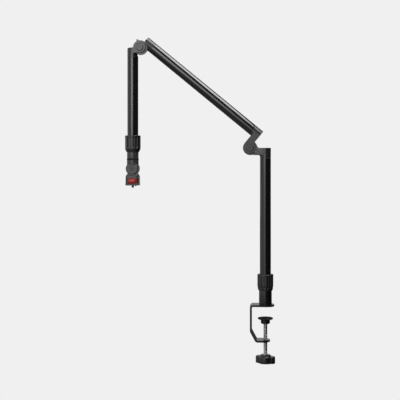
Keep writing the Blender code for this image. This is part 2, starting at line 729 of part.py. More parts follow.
def finish_cap(cap, hinge, place):
    """Cut the pivot's hole and the grub screw's blind hole, then move the cap to its place."""
    cut(
        cap,
        tool_rod(PIVOT_RADIUS + GAP, -20 * MM, 20 * MM, across(hinge, 0), SIDES_MEDIUM),
        tool_rod(
            GRUB_RADIUS + GAP, GRUB_SEAT - GAP, TUBE_RADIUS, across(0, -CAP_LENGTH - GRUB_DISTANCE),
            SIDES_SMALL,
        ),
    )
    cap.matrix_world = place
    return cap


def tongue(hinge):
    return tool_rod(TONGUE_RADIUS, -TONGUE_HALF, TONGUE_HALF, across(hinge, 0), SIDES_DISC)


def tool_pockets(hinge, radius):
    """Room for the fork's ears on both sides of a tongue."""
    floor = TONGUE_HALF - TONGUE_STEP / 2
    return [
        tool_rod(radius, floor, 20 * MM, across(hinge, 0), SIDES_DISC),
        tool_rod(radius, -20 * MM, -floor, across(hinge, 0), SIDES_DISC),
    ]


def tool_side(outline, half):
    """An outline of (x, z) points, carried half to each side of y = 0."""
    return side_prism("tool", "steel", outline, -half, half)


def knuckle_fillet(hinge, half):
    """Fills the corner between the tongue and the top of the post's knuckle block."""
    start = 180 + math.degrees(math.asin(KNUCKLE_FILLET / (TONGUE_RADIUS + KNUCKLE_FILLET)))
    curve = arc((hinge + KNUCKLE_REACH, KNUCKLE_FILLET), KNUCKLE_FILLET, start, 270, 5)
    low = -2 * MM
    outline = [(hinge + TONGUE_RADIUS - 3 * MM, low), *curve, (hinge + KNUCKLE_REACH, low)]
    return tool_side(outline, half)


def sleeve_fillet(half):
    """Fills the corner between the underside of that block and the sleeve."""
    centre = (-TUBE_RADIUS - SLEEVE_FILLET, -TONGUE_RADIUS - SLEEVE_FILLET)
    curve = arc(centre, SLEEVE_FILLET, 90, 0, 4)
    inner = -TUBE_RADIUS + 3 * MM
    top = -TONGUE_RADIUS + 0.5 * MM
    return tool_side([*curve, (inner, centre[1]), (inner, top), (centre[0], top)], half)


def make_post_cap():
    cap = cap_blank("post_cap")
    hinge = -LOWER_POST_OFFSET
    start = hinge + KNUCKLE_START
    half = TONGUE_HALF - TONGUE_STEP
    knuckle = tool_block((start, -KNUCKLE_HALF, -TONGUE_RADIUS), (0, KNUCKLE_HALF, 1 * MM))
    cut(knuckle, *tool_pockets(hinge, EAR_RADIUS + 0.6 * MM))
    neck = tool_block((hinge, -half, 0.5 * MM - TONGUE_RADIUS), (start + 3 * MM, half, 0.5 * MM))
    face_off(join(cap, knuckle, neck, sleeve_fillet(half)), 0)
    join(cap, knuckle_fillet(hinge, half), tongue(hinge))
    return finish_cap(cap, hinge, at(0, 0, POST_TOP))


def make_arm_upper_cap():
    hinge = -UPPER_OFFSET
    cap = cap_blank("arm_upper_cap")
    half = TONGUE_HALF - TONGUE_STEP
    neck = tool_block((hinge, -half, -TONGUE_RADIUS), (0, half, 1 * MM))
    lug_place = at(hinge, 0, 0) @ Matrix.Rotation(-math.radians(STOP_LUG_ANGLE), 4, "Y")
    lug_half = STOP_LUG_WIDTH / 2
    reach = TONGUE_RADIUS + STOP_LUG_REACH
    lug = tool_block((TONGUE_RADIUS - 3 * MM, -half, -lug_half), (reach, half, lug_half), lug_place)
    cut(cap, *tool_pockets(hinge, TONGUE_RADIUS + 0.5 * MM))
    face_off(join(cap, neck), -END_RELIEF)
    join(cap, tongue(hinge), lug)
    return finish_cap(cap, hinge, frame_of(ARM_UPPER_END, ARM_UP, ARM_OUT))


def make_fork_cap(name, place, hinge, end, slot, web, web_half, corner=0.0):
    """A cap with two ears. The block between ears and sleeve is web high and twice web_half deep."""
    cap = cap_blank(name, corner, end)
    depth = ELBOW_HALF_DEPTH
    join(cap, tool_block((0, -web_half, -web), (hinge, web_half, 1 * MM)))
    face_off(cap, end)
    join(cap, tool_rod(EAR_RADIUS, -depth, depth, across(hinge, 0), SIDES_DISC))
    nut_radius = NUT_ACROSS / math.sqrt(3) + 0.6 * MM
    cut(
        cap,
        tool_rod(slot, -EAR_INNER, EAR_INNER, across(hinge, 0), SIDES_DISC),
        tool_rod(nut_radius, depth - NUT_POCKET_DEPTH, depth + 1 * MM, across(hinge, 0), SIDES_MEDIUM),
    )
    return finish_cap(cap, hinge, place)


def make_grub(name, place):
    end = GRUB_SEAT + GRUB_LENGTH
    grub = rod(name, "dark_steel", GRUB_RADIUS, GRUB_SEAT, end, None, SIDES_SMALL)
    cut(grub, tool_prism(hexagon(GRUB_SOCKET), end - 2.5 * MM, end + 1 * MM))
    grub.matrix_world = across(0, -CAP_LENGTH - GRUB_DISTANCE, place)
    return grub


# Elbow hardware
def make_pivot(prefix, elbow):
    place = across(elbow.x, elbow.z)
    outer = ELBOW_HALF_DEPTH + GAP
    head_end = -outer - PIVOT_HEAD_HEIGHT
    nut_low = ELBOW_HALF_DEPTH - NUT_POCKET_DEPTH + GAP
    nut_top = nut_low + NUT_HEIGHT
    profile = [
        (PIVOT_HEAD_RADIUS - 0.9 * MM, head_end), (PIVOT_HEAD_RADIUS, head_end + 0.9 * MM),
        (PIVOT_HEAD_RADIUS, -outer), (PIVOT_RADIUS, -outer), (PIVOT_RADIUS, nut_top + 0.4 * MM),
    ]
    bolt = turned_solid(f"{prefix}_pivot_bolt", "dark_steel", profile, SIDES_MEDIUM, place)
    cut(bolt, tool_prism(hexagon(PIVOT_SOCKET), head_end - 1 * MM, head_end + 2.4 * MM, place))
    nut = prism(f"{prefix}_pivot_nut", "steel", hexagon(NUT_ACROSS), nut_low, nut_top, place)
    cut(nut, tool_rod(PIVOT_RADIUS + GAP, nut_low - 1 * MM, nut_top + 1 * MM, place, SIDES_MEDIUM))
    inner = NUT_COVER_RADIUS - NUT_COVER_WALL
    roof = outer + NUT_COVER_HEIGHT
    cup = [
        (NUT_COVER_RADIUS - 0.8 * MM, roof), (NUT_COVER_RADIUS, roof - 0.8 * MM), (NUT_COVER_RADIUS, outer),
        (inner, outer), (inner, roof - NUT_COVER_WALL),
    ]
    cover = turned_solid(f"{prefix}_pivot_cover", "plastic", cup, SIDES_MEDIUM, place)
    washers = []
    for side, sign in (("front", -1), ("rear", 1)):
        low, high = sorted((sign * (TONGUE_HALF + GAP), sign * (TONGUE_HALF + GAP + WASHER_THICKNESS)))
        ring_profile = annulus(PIVOT_RADIUS + GAP, WASHER_RADIUS, low, high)
        washers.append(turned(f"{prefix}_washer_{side}", "liner", ring_profile, SIDES_MEDIUM, place))
    return [bolt, nut, cover, *washers]


# Head
def make_head_stem():
    groove = DROP_END - GAP + FERRULE_SPIGOT + 0.1 * MM
    neck_top = NECK_BOTTOM + NECK_LENGTH
    profile = [
        (FORK_BOSS + GAP, NECK_BOTTOM + STEM_SOCKET_DEPTH), (FORK_BOSS + GAP, NECK_BOTTOM),
        (NECK_OD / 2, NECK_BOTTOM), (NECK_OD / 2, neck_top),
        (NECK_SHOULDER, neck_top), (NECK_SHOULDER, neck_top + NECK_SHOULDER_LENGTH),
        (STEM_RADIUS, neck_top + NECK_SHOULDER_LENGTH), (STEM_RADIUS, groove), (STEM_GROOVE, groove),
        (STEM_GROOVE, groove + CLIP_THICKNESS + 2 * GAP), (STEM_RADIUS, groove + CLIP_THICKNESS + 2 * GAP),
        (STEM_RADIUS, STEM_TOP),
    ]
    return turned_solid("head_stem", "casting", profile, SIDES_LARGE, at(DROP_X, 0, 0))


def make_stem_clip():
    low = DROP_END - GAP + FERRULE_SPIGOT + 0.1 * MM + GAP
    profile = annulus(STEM_GROOVE + GAP, CLIP_RADIUS, low, low + CLIP_THICKNESS)
    return split_ring("stem_clip", "steel", profile, 6 * MM, SIDES_MEDIUM, at(DROP_X, 0, 0))


def make_trim_ring():
    low = FORK_TOP + GAP
    profile = annulus(FORK_BOSS + GAP, TRIM_RING_OD / 2, low, low + TRIM_RING_HEIGHT)
    return turned("trim_ring", "plastic", profile, SIDES_LARGE, at(DROP_X, 0, 0))


def make_head_fork():
    place = at(DROP_X, 0, TILT_Z)
    base = FORK_BASE - TILT_Z
    top = FORK_TOP - TILT_Z
    boss_top = NECK_BOTTOM + STEM_SOCKET_DEPTH - GAP - TILT_Z
    profile = [
        (FORK_OD / 2 - 0.8 * MM, base), (FORK_OD / 2, base + 0.8 * MM), (FORK_OD / 2, top),
        (FORK_BOSS, top), (FORK_BOSS, boss_top),
    ]
    fork = turned_solid("head_fork", "casting", profile, SIDES_LARGE, place)
    depth = TILT_EAR_HALF_DEPTH
    side = TILT_EAR_RADIUS - TILT_EAR_STEP
    web_half = depth - TILT_EAR_STEP
    web = tool_block((-side, -web_half, 0), (side, web_half, base + 2 * MM), place)
    pivot = across(0, 0, place)
    join(fork, web, tool_rod(TILT_EAR_RADIUS, -depth, depth, pivot, SIDES_DISC))
    head = -depth + TILT_HEAD_HEIGHT + GAP
    nut = depth - TILT_NUT_HEIGHT + GAP
    return cut(
        fork,
        tool_rod(TILT_TONGUE_RADIUS + 0.5 * MM, -TILT_EAR_INNER, TILT_EAR_INNER, pivot, SIDES_DISC),
        tool_rod(TILT_BOLT_RADIUS + GAP, -20 * MM, 20 * MM, pivot, SIDES_SMALL),
        tool_rod(TILT_HEAD_RADIUS + GAP, -20 * MM, head, pivot, SIDES_MEDIUM),
        tool_prism(hexagon(TILT_NUT_ACROSS + 2 * GAP), nut, 20 * MM, pivot),
    )


def make_tilt_hardware():
    place = across(DROP_X, TILT_Z)
    depth = TILT_EAR_HALF_DEPTH
    nut_low = depth - TILT_NUT_HEIGHT + 2 * GAP
    nut_top = nut_low + TILT_NUT_HEIGHT
    profile = [
        (TILT_HEAD_RADIUS - 0.4 * MM, -depth), (TILT_HEAD_RADIUS, -depth + 0.4 * MM),
        (TILT_HEAD_RADIUS, -depth + TILT_HEAD_HEIGHT), (TILT_BOLT_RADIUS, -depth + TILT_HEAD_HEIGHT),
        (TILT_BOLT_RADIUS, nut_top + 0.3 * MM),
    ]
    bolt = turned_solid("tilt_bolt", "dark_steel", profile, SIDES_MEDIUM, place)
    cut(bolt, tool_prism(hexagon(TILT_SOCKET), -depth - 1 * MM, -depth + 1.7 * MM, place))
    nut = prism("tilt_nut", "steel", hexagon(TILT_NUT_ACROSS), nut_low, nut_top, place)
    cut(nut, tool_rod(TILT_BOLT_RADIUS + GAP, nut_low - 1 * MM, nut_top + 1 * MM, place, SIDES_SMALL))
    washers = []
    for side, sign in (("front", -1), ("rear", 1)):
        low, high = sorted((sign * (TILT_TONGUE_HALF + GAP), sign * (TILT_TONGUE_HALF + GAP + TILT_WASHER)))
        ring_profile = annulus(TILT_BOLT_RADIUS + GAP, TILT_WASHER_RADIUS, low, high)
        washers.append(turned(f"tilt_washer_{side}", "liner", ring_profile, SIDES_MEDIUM, place))
    return [bolt, nut, *washers]


# Quick release, in a frame at the centre of the housing's underside
def release_place():
    return at(DROP_X, 0, HOUSING_BOTTOM)


def make_head_housing():
    place = release_place()
    plan = rounded_rectangle(HOUSING_WIDTH, HOUSING_DEPTH, HOUSING_CORNER)
    housing = prism("head_housing", "casting", plan, 0, HOUSING_HEIGHT, place)
    side = HOUSING_WIDTH / 2
    inner = side - HOUSING_SHOULDER
    start = HOUSING_HEIGHT - HOUSING_SHOULDER_HEIGHT
    sweep = math.degrees(math.asin(HOUSING_SHOULDER_HEIGHT / HOUSING_SHOULDER))
    outline = (
        [(-side + HOUSING_FOOT, 0), (side - HOUSING_FOOT, 0), (side, HOUSING_FOOT)]
        + arc((inner, start), HOUSING_SHOULDER, 0, sweep, 5)
        + arc((-inner, start), HOUSING_SHOULDER, 180 - sweep, 180, 5)
        + [(-side, HOUSING_FOOT)]
    )
    keep_common(housing, side_prism("tool", "steel", outline, -side, side, place))
    pivot = across(0, TILT_Z - HOUSING_BOTTOM, place)
    pocket = TILT_EAR_RADIUS + GAP
    pocket_near = TILT_TONGUE_HALF + GAP
    pocket_far = TILT_EAR_HALF_DEPTH + 2 * GAP
    cut(
        housing,
        tool_rod(pocket, pocket_near, pocket_far, pivot, SIDES_DISC),
        tool_rod(pocket, -pocket_far, -pocket_near, pivot, SIDES_DISC),
    )
    join(housing, tool_rod(TILT_TONGUE_RADIUS, -TILT_TONGUE_HALF, TILT_TONGUE_HALF, pivot, SIDES_DISC))
    latch_low = LATCH_HEIGHT - GAP
    latch_high = LATCH_HEIGHT + LATCH_THICKNESS + GAP
    latch_half = LATCH_WIDTH / 2 + GAP
    spring = across(0, LATCH_HEIGHT + LATCH_THICKNESS / 2, place)
    button = rounded_rectangle(BUTTON_WIDTH + 2 * GAP, BUTTON_HEIGHT + 2 * GAP, BUTTON_CORNER + GAP)
    button_middle = BUTTON_BOTTOM + BUTTON_HEIGHT / 2
    pocket_floor = BUTTON_BACK + BUTTON_TRAVEL + 0.5 * MM
    return cut(
        housing,
        tool_rod(TILT_BOLT_RADIUS + GAP, -20 * MM, 20 * MM, pivot, SIDES_SMALL),
        tool_rod(PLUG_FLANGE_RADIUS + GAP, -1 * MM, PLUG_FLANGE + GAP, place),
        tool_rod(PLUG_RADIUS + GAP, 0, PLUG_HEIGHT + GAP, place, SIDES_MEDIUM),
        tool_prism(button, -HOUSING_DEPTH, pocket_floor, across(0, button_middle, place)),
        tool_block(
            (-latch_half, pocket_floor - 1 * MM, latch_low),
            (latch_half, LATCH_REACH + BUTTON_TRAVEL + GAP, latch_high), place,
        ),
        tool_rod(
            SPRING_RADIUS + 0.4 * MM, LATCH_REACH - 0.5 * MM, HOUSING_DEPTH / 2 - SPRING_POCKET_WALL,
            spring, SIDES_MEDIUM,
        ),
    )


def make_adapter_plug():
    place = release_place()
    profile = [
        (PLUG_FLANGE_RADIUS, 0), (PLUG_FLANGE_RADIUS, PLUG_FLANGE), (PLUG_RADIUS, PLUG_FLANGE),
        (PLUG_RADIUS, LATCH_HEIGHT - GAP), (PLUG_GROOVE_RADIUS, LATCH_HEIGHT - GAP),
        (PLUG_GROOVE_RADIUS, LATCH_HEIGHT + LATCH_THICKNESS + GAP),
        (PLUG_RADIUS, LATCH_HEIGHT + LATCH_THICKNESS + GAP), (PLUG_RADIUS, PLUG_HEIGHT - 1.2 * MM),
        (PLUG_RADIUS - 1.2 * MM, PLUG_HEIGHT),
    ]
    plug = turned_solid("adapter_plug", "steel", profile, SIDES_MEDIUM, place)
    pin = place @ at(PIN_OFFSET, 0, 0)
    return cut(
        plug,
        tool_rod(STUD_RADIUS + GAP, -1 * MM, STUD_SEAT + GAP, place, SIDES_SMALL),
        tool_rod(PIN_RADIUS + GAP, -1 * MM, PIN_SEAT + GAP, pin, SIDES_SMALL),
    )


def make_mount_stud():
    profile = [
        (STUD_RADIUS - 0.6 * MM, -STUD_LENGTH), (STUD_RADIUS, -STUD_LENGTH + 0.6 * MM), (STUD_RADIUS, STUD_SEAT)
    ]
    return turned_solid("mount_stud", "dark_steel", profile, SIDES_SMALL, release_place())


def make_index_pin():
    profile = [
        (PIN_RADIUS - 0.3 * MM, -PIN_LENGTH), (PIN_RADIUS, -PIN_LENGTH + 0.3 * MM), (PIN_RADIUS, PIN_SEAT)
    ]
    place = release_place() @ at(PIN_OFFSET, 0, 0)
    return turned_solid("index_pin", "dark_steel", profile, SIDES_SMALL, place)


def make_latch_spring():
    """A coil between the latch plate and the housing's rear wall."""
    turns, around, sides = 4.5, 8, 5
    wire = SPRING_WIRE / 2
    low = LATCH_REACH + GAP + wire
    high = HOUSING_DEPTH / 2 - SPRING_POCKET_WALL - GAP - wire
    mean = SPRING_RADIUS - wire
    count = int(turns * around)
    bm = bmesh.new()
    rows = []
    for i in range(count + 1):
        angle = math.tau * turns * i / count
        height = low + (high - low) * i / count
        out = Vector((math.cos(angle), math.sin(angle), 0))
        centre = out * mean + Vector((0, 0, height))
        rows.append([
            bm.verts.new(centre + (out * math.cos(a) + Vector((0, 0, 1)) * math.sin(a)) * wire)
            for a in (math.tau * k / sides for k in range(sides))
        ])
    for low_row, high_row in zip(rows, rows[1:]):
        bridge(bm, low_row, high_row)
    bm.faces.new(rows[0])
    bm.faces.new(rows[-1])
    spot = across(0, LATCH_HEIGHT + LATCH_THICKNESS / 2, release_place())
    return object_from(bm, "latch_spring", "steel", spot)


def make_release_button():
    place = across(0, BUTTON_BOTTOM + BUTTON_HEIGHT / 2, release_place())
    front = -HOUSING_DEPTH / 2 - BUTTON_PROUD
    outline = rounded_rectangle(BUTTON_WIDTH, BUTTON_HEIGHT, BUTTON_CORNER)
    face = rounded_rectangle(BUTTON_WIDTH - 1.6 * MM, BUTTON_HEIGHT - 1.6 * MM, BUTTON_CORNER - 0.8 * MM)
    bm = bmesh.new()
    rows = [
        [bm.verts.new((x, y, height)) for x, y in points]
        for points, height in ((face, front), (outline, front + 0.8 * MM), (outline, BUTTON_BACK))
    ]
    for low, high in zip(rows, rows[1:]):
        bridge(bm, low, high)
    bm.faces.new(rows[0])
    bm.faces.new(rows[-1])
    return object_from(bm, "release_button", "red", place)


def make_latch_plate():
    place = release_place()
    top = LATCH_HEIGHT + LATCH_THICKNESS
    half = LATCH_WIDTH / 2
    plate = block("latch_plate", "steel", (-half, LATCH_NEAR, LATCH_HEIGHT), (half, LATCH_REACH, top), place)
    release = place @ at(0, -BUTTON_TRAVEL, 0)
    return cut(
        plate,
        tool_rod(PLUG_RADIUS + GAP, 0, 2 * top, release, SIDES_MEDIUM),
        tool_rod(PLUG_GROOVE_RADIUS + GAP, 0, 2 * top, place, SIDES_MEDIUM),
    )


# Clamp screw
def make_pressure_pad():
    rim_top = PAD_TOP - PAD_LINER - GAP
    rim_low = rim_top - PAD_RIM
    hub = rim_low - PAD_SLOPE
    hub_end = hub - PAD_HUB_LENGTH
    bore = RIVET_PIN_RADIUS + GAP
    sink = RIVET_HEAD_RADIUS + GAP
    floor = rim_top - RIVET_HEAD_HEIGHT - 2 * GAP
    profile = [
        (sink, rim_top), (PAD_RADIUS - 0.6 * MM, rim_top), (PAD_RADIUS, rim_top - 0.6 * MM),
        (PAD_RADIUS, rim_low), (PAD_HUB_RADIUS, hub), (PAD_HUB_RADIUS, hub_end),
        (PAD_HUB_RADIUS - PAD_CONE_INSET, hub_end - PAD_CONE),
        (bore, hub_end - PAD_CONE), (bore, floor), (sink, floor),
    ]
    return turned("pressure_pad", "strip", profile)


def make_pad_liner():
    radius = PAD_RADIUS - PAD_LINER_INSET
    return rod("pad_liner", "rubber", radius, PAD_TOP - PAD_LINER, PAD_TOP, None, SIDES_LARGE)


def make_clamp_screw():
    head_top = KNOB_TOP - KNOB_HEIGHT + KNOB_POCKET
    head_low = head_top - SCREW_HEAD_HEIGHT
    rim_top = PAD_TOP - PAD_LINER - GAP
    shoulder = rim_top - PAD_RIM - PAD_SLOPE - PAD_HUB_LENGTH - PAD_CONE - GAP
    rivet_top = rim_top - GAP
    rivet_low = rivet_top - RIVET_HEAD_HEIGHT
    profile = [
        (SCREW_RADIUS, head_low + 1 * MM), (SCREW_RADIUS, shoulder), (RIVET_PIN_RADIUS, shoulder),
        (RIVET_PIN_RADIUS, rivet_low), (RIVET_HEAD_RADIUS, rivet_low), (RIVET_HEAD_RADIUS, rivet_top),
    ]
    screw = turned_solid("clamp_screw", "steel", profile, SIDES_MEDIUM)
    return join(screw, tool_prism(hexagon(SCREW_HEAD_ACROSS), head_low, head_top))


def knob_radius(angle):
    """The knob's plan: a smooth blend of a round body and two round wings."""
    reaches = [KNOB_BODY_RADIUS]
    for wing in (0, math.pi):
        off = angle - wing
        side = KNOB_WING_CENTRE * math.sin(off)
        if abs(side) < KNOB_WING_RADIUS and math.cos(off) > 0:
            reach = KNOB_WING_CENTRE * math.cos(off) + math.sqrt(KNOB_WING_RADIUS**2 - side**2)
            reaches.append(reach)
    blend = 1.2 * MM
    peak = max(reaches)
    return peak + blend * math.log(sum(math.exp((reach - peak) / blend) for reach in reaches))


def make_clamp_knob():
    bottom = KNOB_TOP - KNOB_HEIGHT
    body_top = KNOB_TOP - KNOB_HUB_HEIGHT
    sides = 44
    turn = Matrix.Rotation(math.radians(KNOB_TURN), 4, "Z")
    bm = bmesh.new()
    rows = []
    for inset, height in (
        (1.4 * MM, bottom), (0, bottom + 1.4 * MM), (0, body_top - 2 * MM), (2 * MM, body_top),
    ):
        rows.append([
            bm.verts.new((
                (knob_radius(a) - inset) * math.cos(a), (knob_radius(a) - inset) * math.sin(a), height
            ))
            for a in (math.tau * i / sides for i in range(sides))
        ])
    for low, high in zip(rows, rows[1:]):
        bridge(bm, low, high)
    bm.faces.new(rows[0])
    bm.faces.new(rows[-1])
    knob = object_from(bm, "clamp_knob", "plastic", turn)
    hub = [
        (KNOB_HUB_RADIUS, body_top - 1 * MM), (KNOB_HUB_RADIUS, KNOB_TOP - 0.7 * MM),
        (KNOB_HUB_RADIUS - 0.7 * MM, KNOB_TOP),
    ]
    join(knob, turned_solid("tool", "steel", hub))
    return cut(
        knob,
        tool_rod(SCREW_RADIUS + GAP, bottom, KNOB_TOP + 1 * MM, None, SIDES_MEDIUM),
        tool_prism(hexagon(SCREW_HEAD_ACROSS + 2 * GAP), bottom - 1 * MM, bottom + KNOB_POCKET + GAP),
    )


def make_knob_cap():
    low = KNOB_TOP - KNOB_HEIGHT + KNOB_CAP_INSET
    return prism("knob_cap", "plastic", hexagon(SCREW_HEAD_ACROSS), low, low + KNOB_CAP_THICKNESS)


clear_scene()
slots = make_materials()

post_place = at(0, 0, POST_TOP)
arm_lower_place = frame_of(ARM_LOWER_END, -ARM_UP, -ARM_OUT)
arm_upper_place = frame_of(ARM_UPPER_END, ARM_UP, ARM_OUT)
drop_place = at(*DROP_TOP)
tube_gap = CAP_LENGTH + GAP
grub_height = CAP_LENGTH + GRUB_DISTANCE
drop_axis = at(DROP_X, 0, 0)

body("clamp", (0, 0, 0), [
    make_clamp_frame(), make_base_socket(), *make_base_screws(), make_thrust_washer(), make_lower_collet(),
])
body("lower_collar", (0, 0, 0), [make_lower_collar()])
body("post", (0, 0, 0), [
    make_post_foot(),
    make_tube("post_tube", at(0, 0, 0), POST_TUBE_BOTTOM, POST_TOP - tube_gap, [POST_TOP - grub_height]),
    make_post_cap(),
    make_grub("post_cap_grub", post_place),
])
body("arm", LOWER_ELBOW, [
    make_tube(
        "arm_tube", frame_of(ARM_LOWER_END, ARM_UP, ARM_OUT), tube_gap, ARM_LENGTH - tube_gap,
        [grub_height, ARM_LENGTH - grub_height],
    ),
    make_fork_cap(
        "arm_lower_cap", arm_lower_place, LOWER_ARM_OFFSET, -END_RELIEF, KNUCKLE_REACH + 2 * GAP,
        TONGUE_RADIUS, KNUCKLE_HALF,
    ),
    make_arm_upper_cap(),
    make_grub("arm_lower_grub", arm_lower_place),
    make_grub("arm_upper_grub", arm_upper_place),
    *make_pivot("lower", LOWER_ELBOW),
])
body("drop", UPPER_ELBOW, [
    make_tube(
        "drop_tube", drop_axis, DROP_END, DROP_TOP.z - tube_gap, [DROP_TOP.z - grub_height]
    ),
    make_fork_cap(
        "drop_cap", drop_place, UPPER_OFFSET, -GAP, TONGUE_RADIUS + STOP_LUG_REACH + 2 * GAP,
        EAR_RADIUS, ELBOW_HALF_DEPTH - EAR_STEP, DROP_CAP_ROUND,
    ),
    make_grub("drop_cap_grub", drop_place),
    make_drop_ferrule(),
    make_upper_collet(),
    *make_pivot("upper", UPPER_ELBOW),
])
body("upper_collar", (DROP_X, 0, 0), [make_upper_collar()])
body("head", (DROP_X, 0, 0), [
    make_head_stem(), make_stem_clip(), make_trim_ring(), make_head_fork(), *make_tilt_hardware(),
])
body("tilt_head", (DROP_X, 0, TILT_Z), [
    make_head_housing(), make_adapter_plug(), make_mount_stud(), make_index_pin(), make_latch_spring(),
])
body("button", (DROP_X, 0, HOUSING_BOTTOM), [make_release_button(), make_latch_plate()])
body("pad", (0, 0, 0), [make_pressure_pad(), make_pad_liner()])
body("screw", (0, 0, 0), [make_clamp_screw(), make_clamp_knob(), make_knob_cap()])
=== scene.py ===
import json
import math

import bmesh
import bpy
import numpy as np
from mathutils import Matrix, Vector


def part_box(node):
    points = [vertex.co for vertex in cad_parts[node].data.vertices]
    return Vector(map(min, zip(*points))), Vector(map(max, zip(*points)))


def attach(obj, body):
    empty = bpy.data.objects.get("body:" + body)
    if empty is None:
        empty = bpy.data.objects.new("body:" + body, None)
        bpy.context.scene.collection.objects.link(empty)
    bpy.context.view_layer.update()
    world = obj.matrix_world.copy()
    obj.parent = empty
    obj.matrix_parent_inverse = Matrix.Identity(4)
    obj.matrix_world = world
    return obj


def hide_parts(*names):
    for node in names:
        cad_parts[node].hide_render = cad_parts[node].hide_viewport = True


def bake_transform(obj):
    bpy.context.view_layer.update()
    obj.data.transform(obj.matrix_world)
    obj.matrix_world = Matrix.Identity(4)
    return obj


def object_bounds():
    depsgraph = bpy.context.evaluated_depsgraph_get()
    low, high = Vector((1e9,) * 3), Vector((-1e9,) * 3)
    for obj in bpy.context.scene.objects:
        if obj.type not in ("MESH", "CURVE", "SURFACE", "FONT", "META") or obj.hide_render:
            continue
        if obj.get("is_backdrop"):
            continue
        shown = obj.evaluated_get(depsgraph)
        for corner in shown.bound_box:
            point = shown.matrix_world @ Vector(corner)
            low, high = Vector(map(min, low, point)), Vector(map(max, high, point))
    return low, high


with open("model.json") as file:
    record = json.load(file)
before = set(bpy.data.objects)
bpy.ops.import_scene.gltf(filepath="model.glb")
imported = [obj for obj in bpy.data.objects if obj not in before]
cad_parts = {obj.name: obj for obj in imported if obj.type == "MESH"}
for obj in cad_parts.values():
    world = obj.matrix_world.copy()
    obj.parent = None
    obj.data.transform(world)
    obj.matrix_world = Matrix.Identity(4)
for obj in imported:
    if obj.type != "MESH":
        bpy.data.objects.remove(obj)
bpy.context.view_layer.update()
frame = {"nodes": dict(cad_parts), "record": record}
mm = 0.001  # surfaces are worked out in millimetres, and addPiece makes them metres
print("frame loaded:", len(frame["nodes"]), "nodes")


# Places shared by several pieces, in millimetres, in the frame's axes.
armRise = 39.5  # degrees, the middle arm's slope
armSlope = math.radians(armRise)
armOut = np.array([-math.cos(armSlope), 0, math.sin(armSlope)])  # along the middle arm, to its far end
armUp = np.array([math.sin(armSlope), 0, math.cos(armSlope)])  # square to it, upwards
depthAxis = np.array([0.0, 1.0, 0.0])
lowerElbow = np.array([-39.4, 0, 410.0])
armStart = lowerElbow + armUp * 40
armEnd = armStart + armOut * 388.5
upperElbow = armEnd - armUp * 20
dropX = upperElbow[0] - 20
dropEnd = upperElbow[2] - 244.25  # lower end of the drop arm's tube
neckBottom = dropEnd - 45.8
forkTop = neckBottom - 4.5
tiltZ = forkTop - 22.1
housingHeight = 31.2
housingTop = tiltZ - 12.5
housingBottom = housingTop - housingHeight
running = 0.3  # clearance between parts


def gridFaces(rows, columns, closeRows=False):
    # quads between neighbouring rows; every row is a closed ring
    r = np.arange(rows if closeRows else rows - 1)
    c = np.arange(columns)
    low, high = r[:, None] * columns, ((r + 1) % rows)[:, None] * columns
    nextC = (c + 1) % columns
    quads = np.stack([low + c, low + nextC, high + nextC, high + c], axis=-1).reshape(-1, 4)
    return quads.tolist()


def ringGrid(points, closeRows=False):
    # points[row, column] = x, y, z; open grids get a flat face on their first and last ring
    rows, columns = points.shape[:2]
    faces = gridFaces(rows, columns, closeRows)
    if not closeRows:
        faces.append(list(range(columns))[::-1])
        faces.append(list(range((rows - 1) * columns, rows * columns)))
    return points.reshape(-1, 3), faces


def joined(*parts):
    # several closed surfaces in one mesh
    verts, faces, start = [], [], 0
    for v, f in parts:
        verts.append(v)
        faces += [[i + start for i in face] for face in f]
        start += len(v)
    return np.concatenate(verts), faces


def rounded(corners, steps=5):
    # profile of (radius, height, rounding): each corner becomes an arc tangent to both of its sides
    p = np.array([c[:2] for c in corners], float)
    out = []
    for i, corner in enumerate(corners):
        r = corner[2] if len(corner) > 2 else 0
        if r <= 0 or i in (0, len(corners) - 1):
            out.append(p[i][None])
            continue
        a, b = p[i - 1] - p[i], p[i + 1] - p[i]
        a, b = a / np.linalg.norm(a), b / np.linalg.norm(b)
        half = math.acos(np.clip(a @ b, -1, 1)) / 2
        reach = r / math.tan(half)
        centre = p[i] + (a + b) / np.linalg.norm(a + b) * r / math.sin(half)
        s, e = p[i] + a * reach - centre, p[i] + b * reach - centre
        t = np.linspace(0, 1, steps + 1)[:, None]
        sweep = math.acos(np.clip(s @ e / r**2, -1, 1))
        arc = (np.sin((1 - t) * sweep) * s + np.sin(t * sweep) * e) / math.sin(sweep)
        out.append(centre + arc)
    return np.concatenate(out)


def turnedSurface(profile, around=72, hollow=False):
    # x = r cos a, y = r sin a, z = height, for every (r, height) of the profile
    a = np.linspace(0, 2 * np.pi, around, endpoint=False)
    profile = np.array(profile, float)
    r, h = profile[:, :1], profile[:, 1:2]
    points = np.stack([r * np.cos(a), r * np.sin(a), h + 0 * a], axis=-1)
    return ringGrid(points, closeRows=hollow)


def rod(radius, low, high, around=64):
    return turnedSurface([(radius, low), (radius, high)], around)


def inwardOf(outline):
    # unit vectors square to the outline, from its neighbours' difference
    side = np.roll(outline, -1, axis=0) - np.roll(outline, 1, axis=0)
    side /= np.linalg.norm(side, axis=1)[:, None]
    return np.stack([-side[:, 1], side[:, 0]], axis=-1)


def plateSurface(outline, low, high, edge, steps=4):
    # an outline carried along z, drawn in by edge * (1 - sin) near both faces, so both rims are rounded;
    # edge is one size, or one for each point of the outline
    edge = np.broadcast_to(np.asarray(edge, float), (len(outline),))[None]
    t = np.linspace(0, np.pi / 2, steps + 1)[:, None]
    inset = edge * (1 - np.sin(t))
    rise = edge * (1 - np.cos(t))
    inset = np.concatenate([inset, inset[::-1]])
    height = np.concatenate([low + rise, high - rise[::-1]])
    xy = outline[None] + inwardOf(outline)[None] * inset[..., None]
    return ringGrid(np.concatenate([xy, height[..., None]], axis=-1))


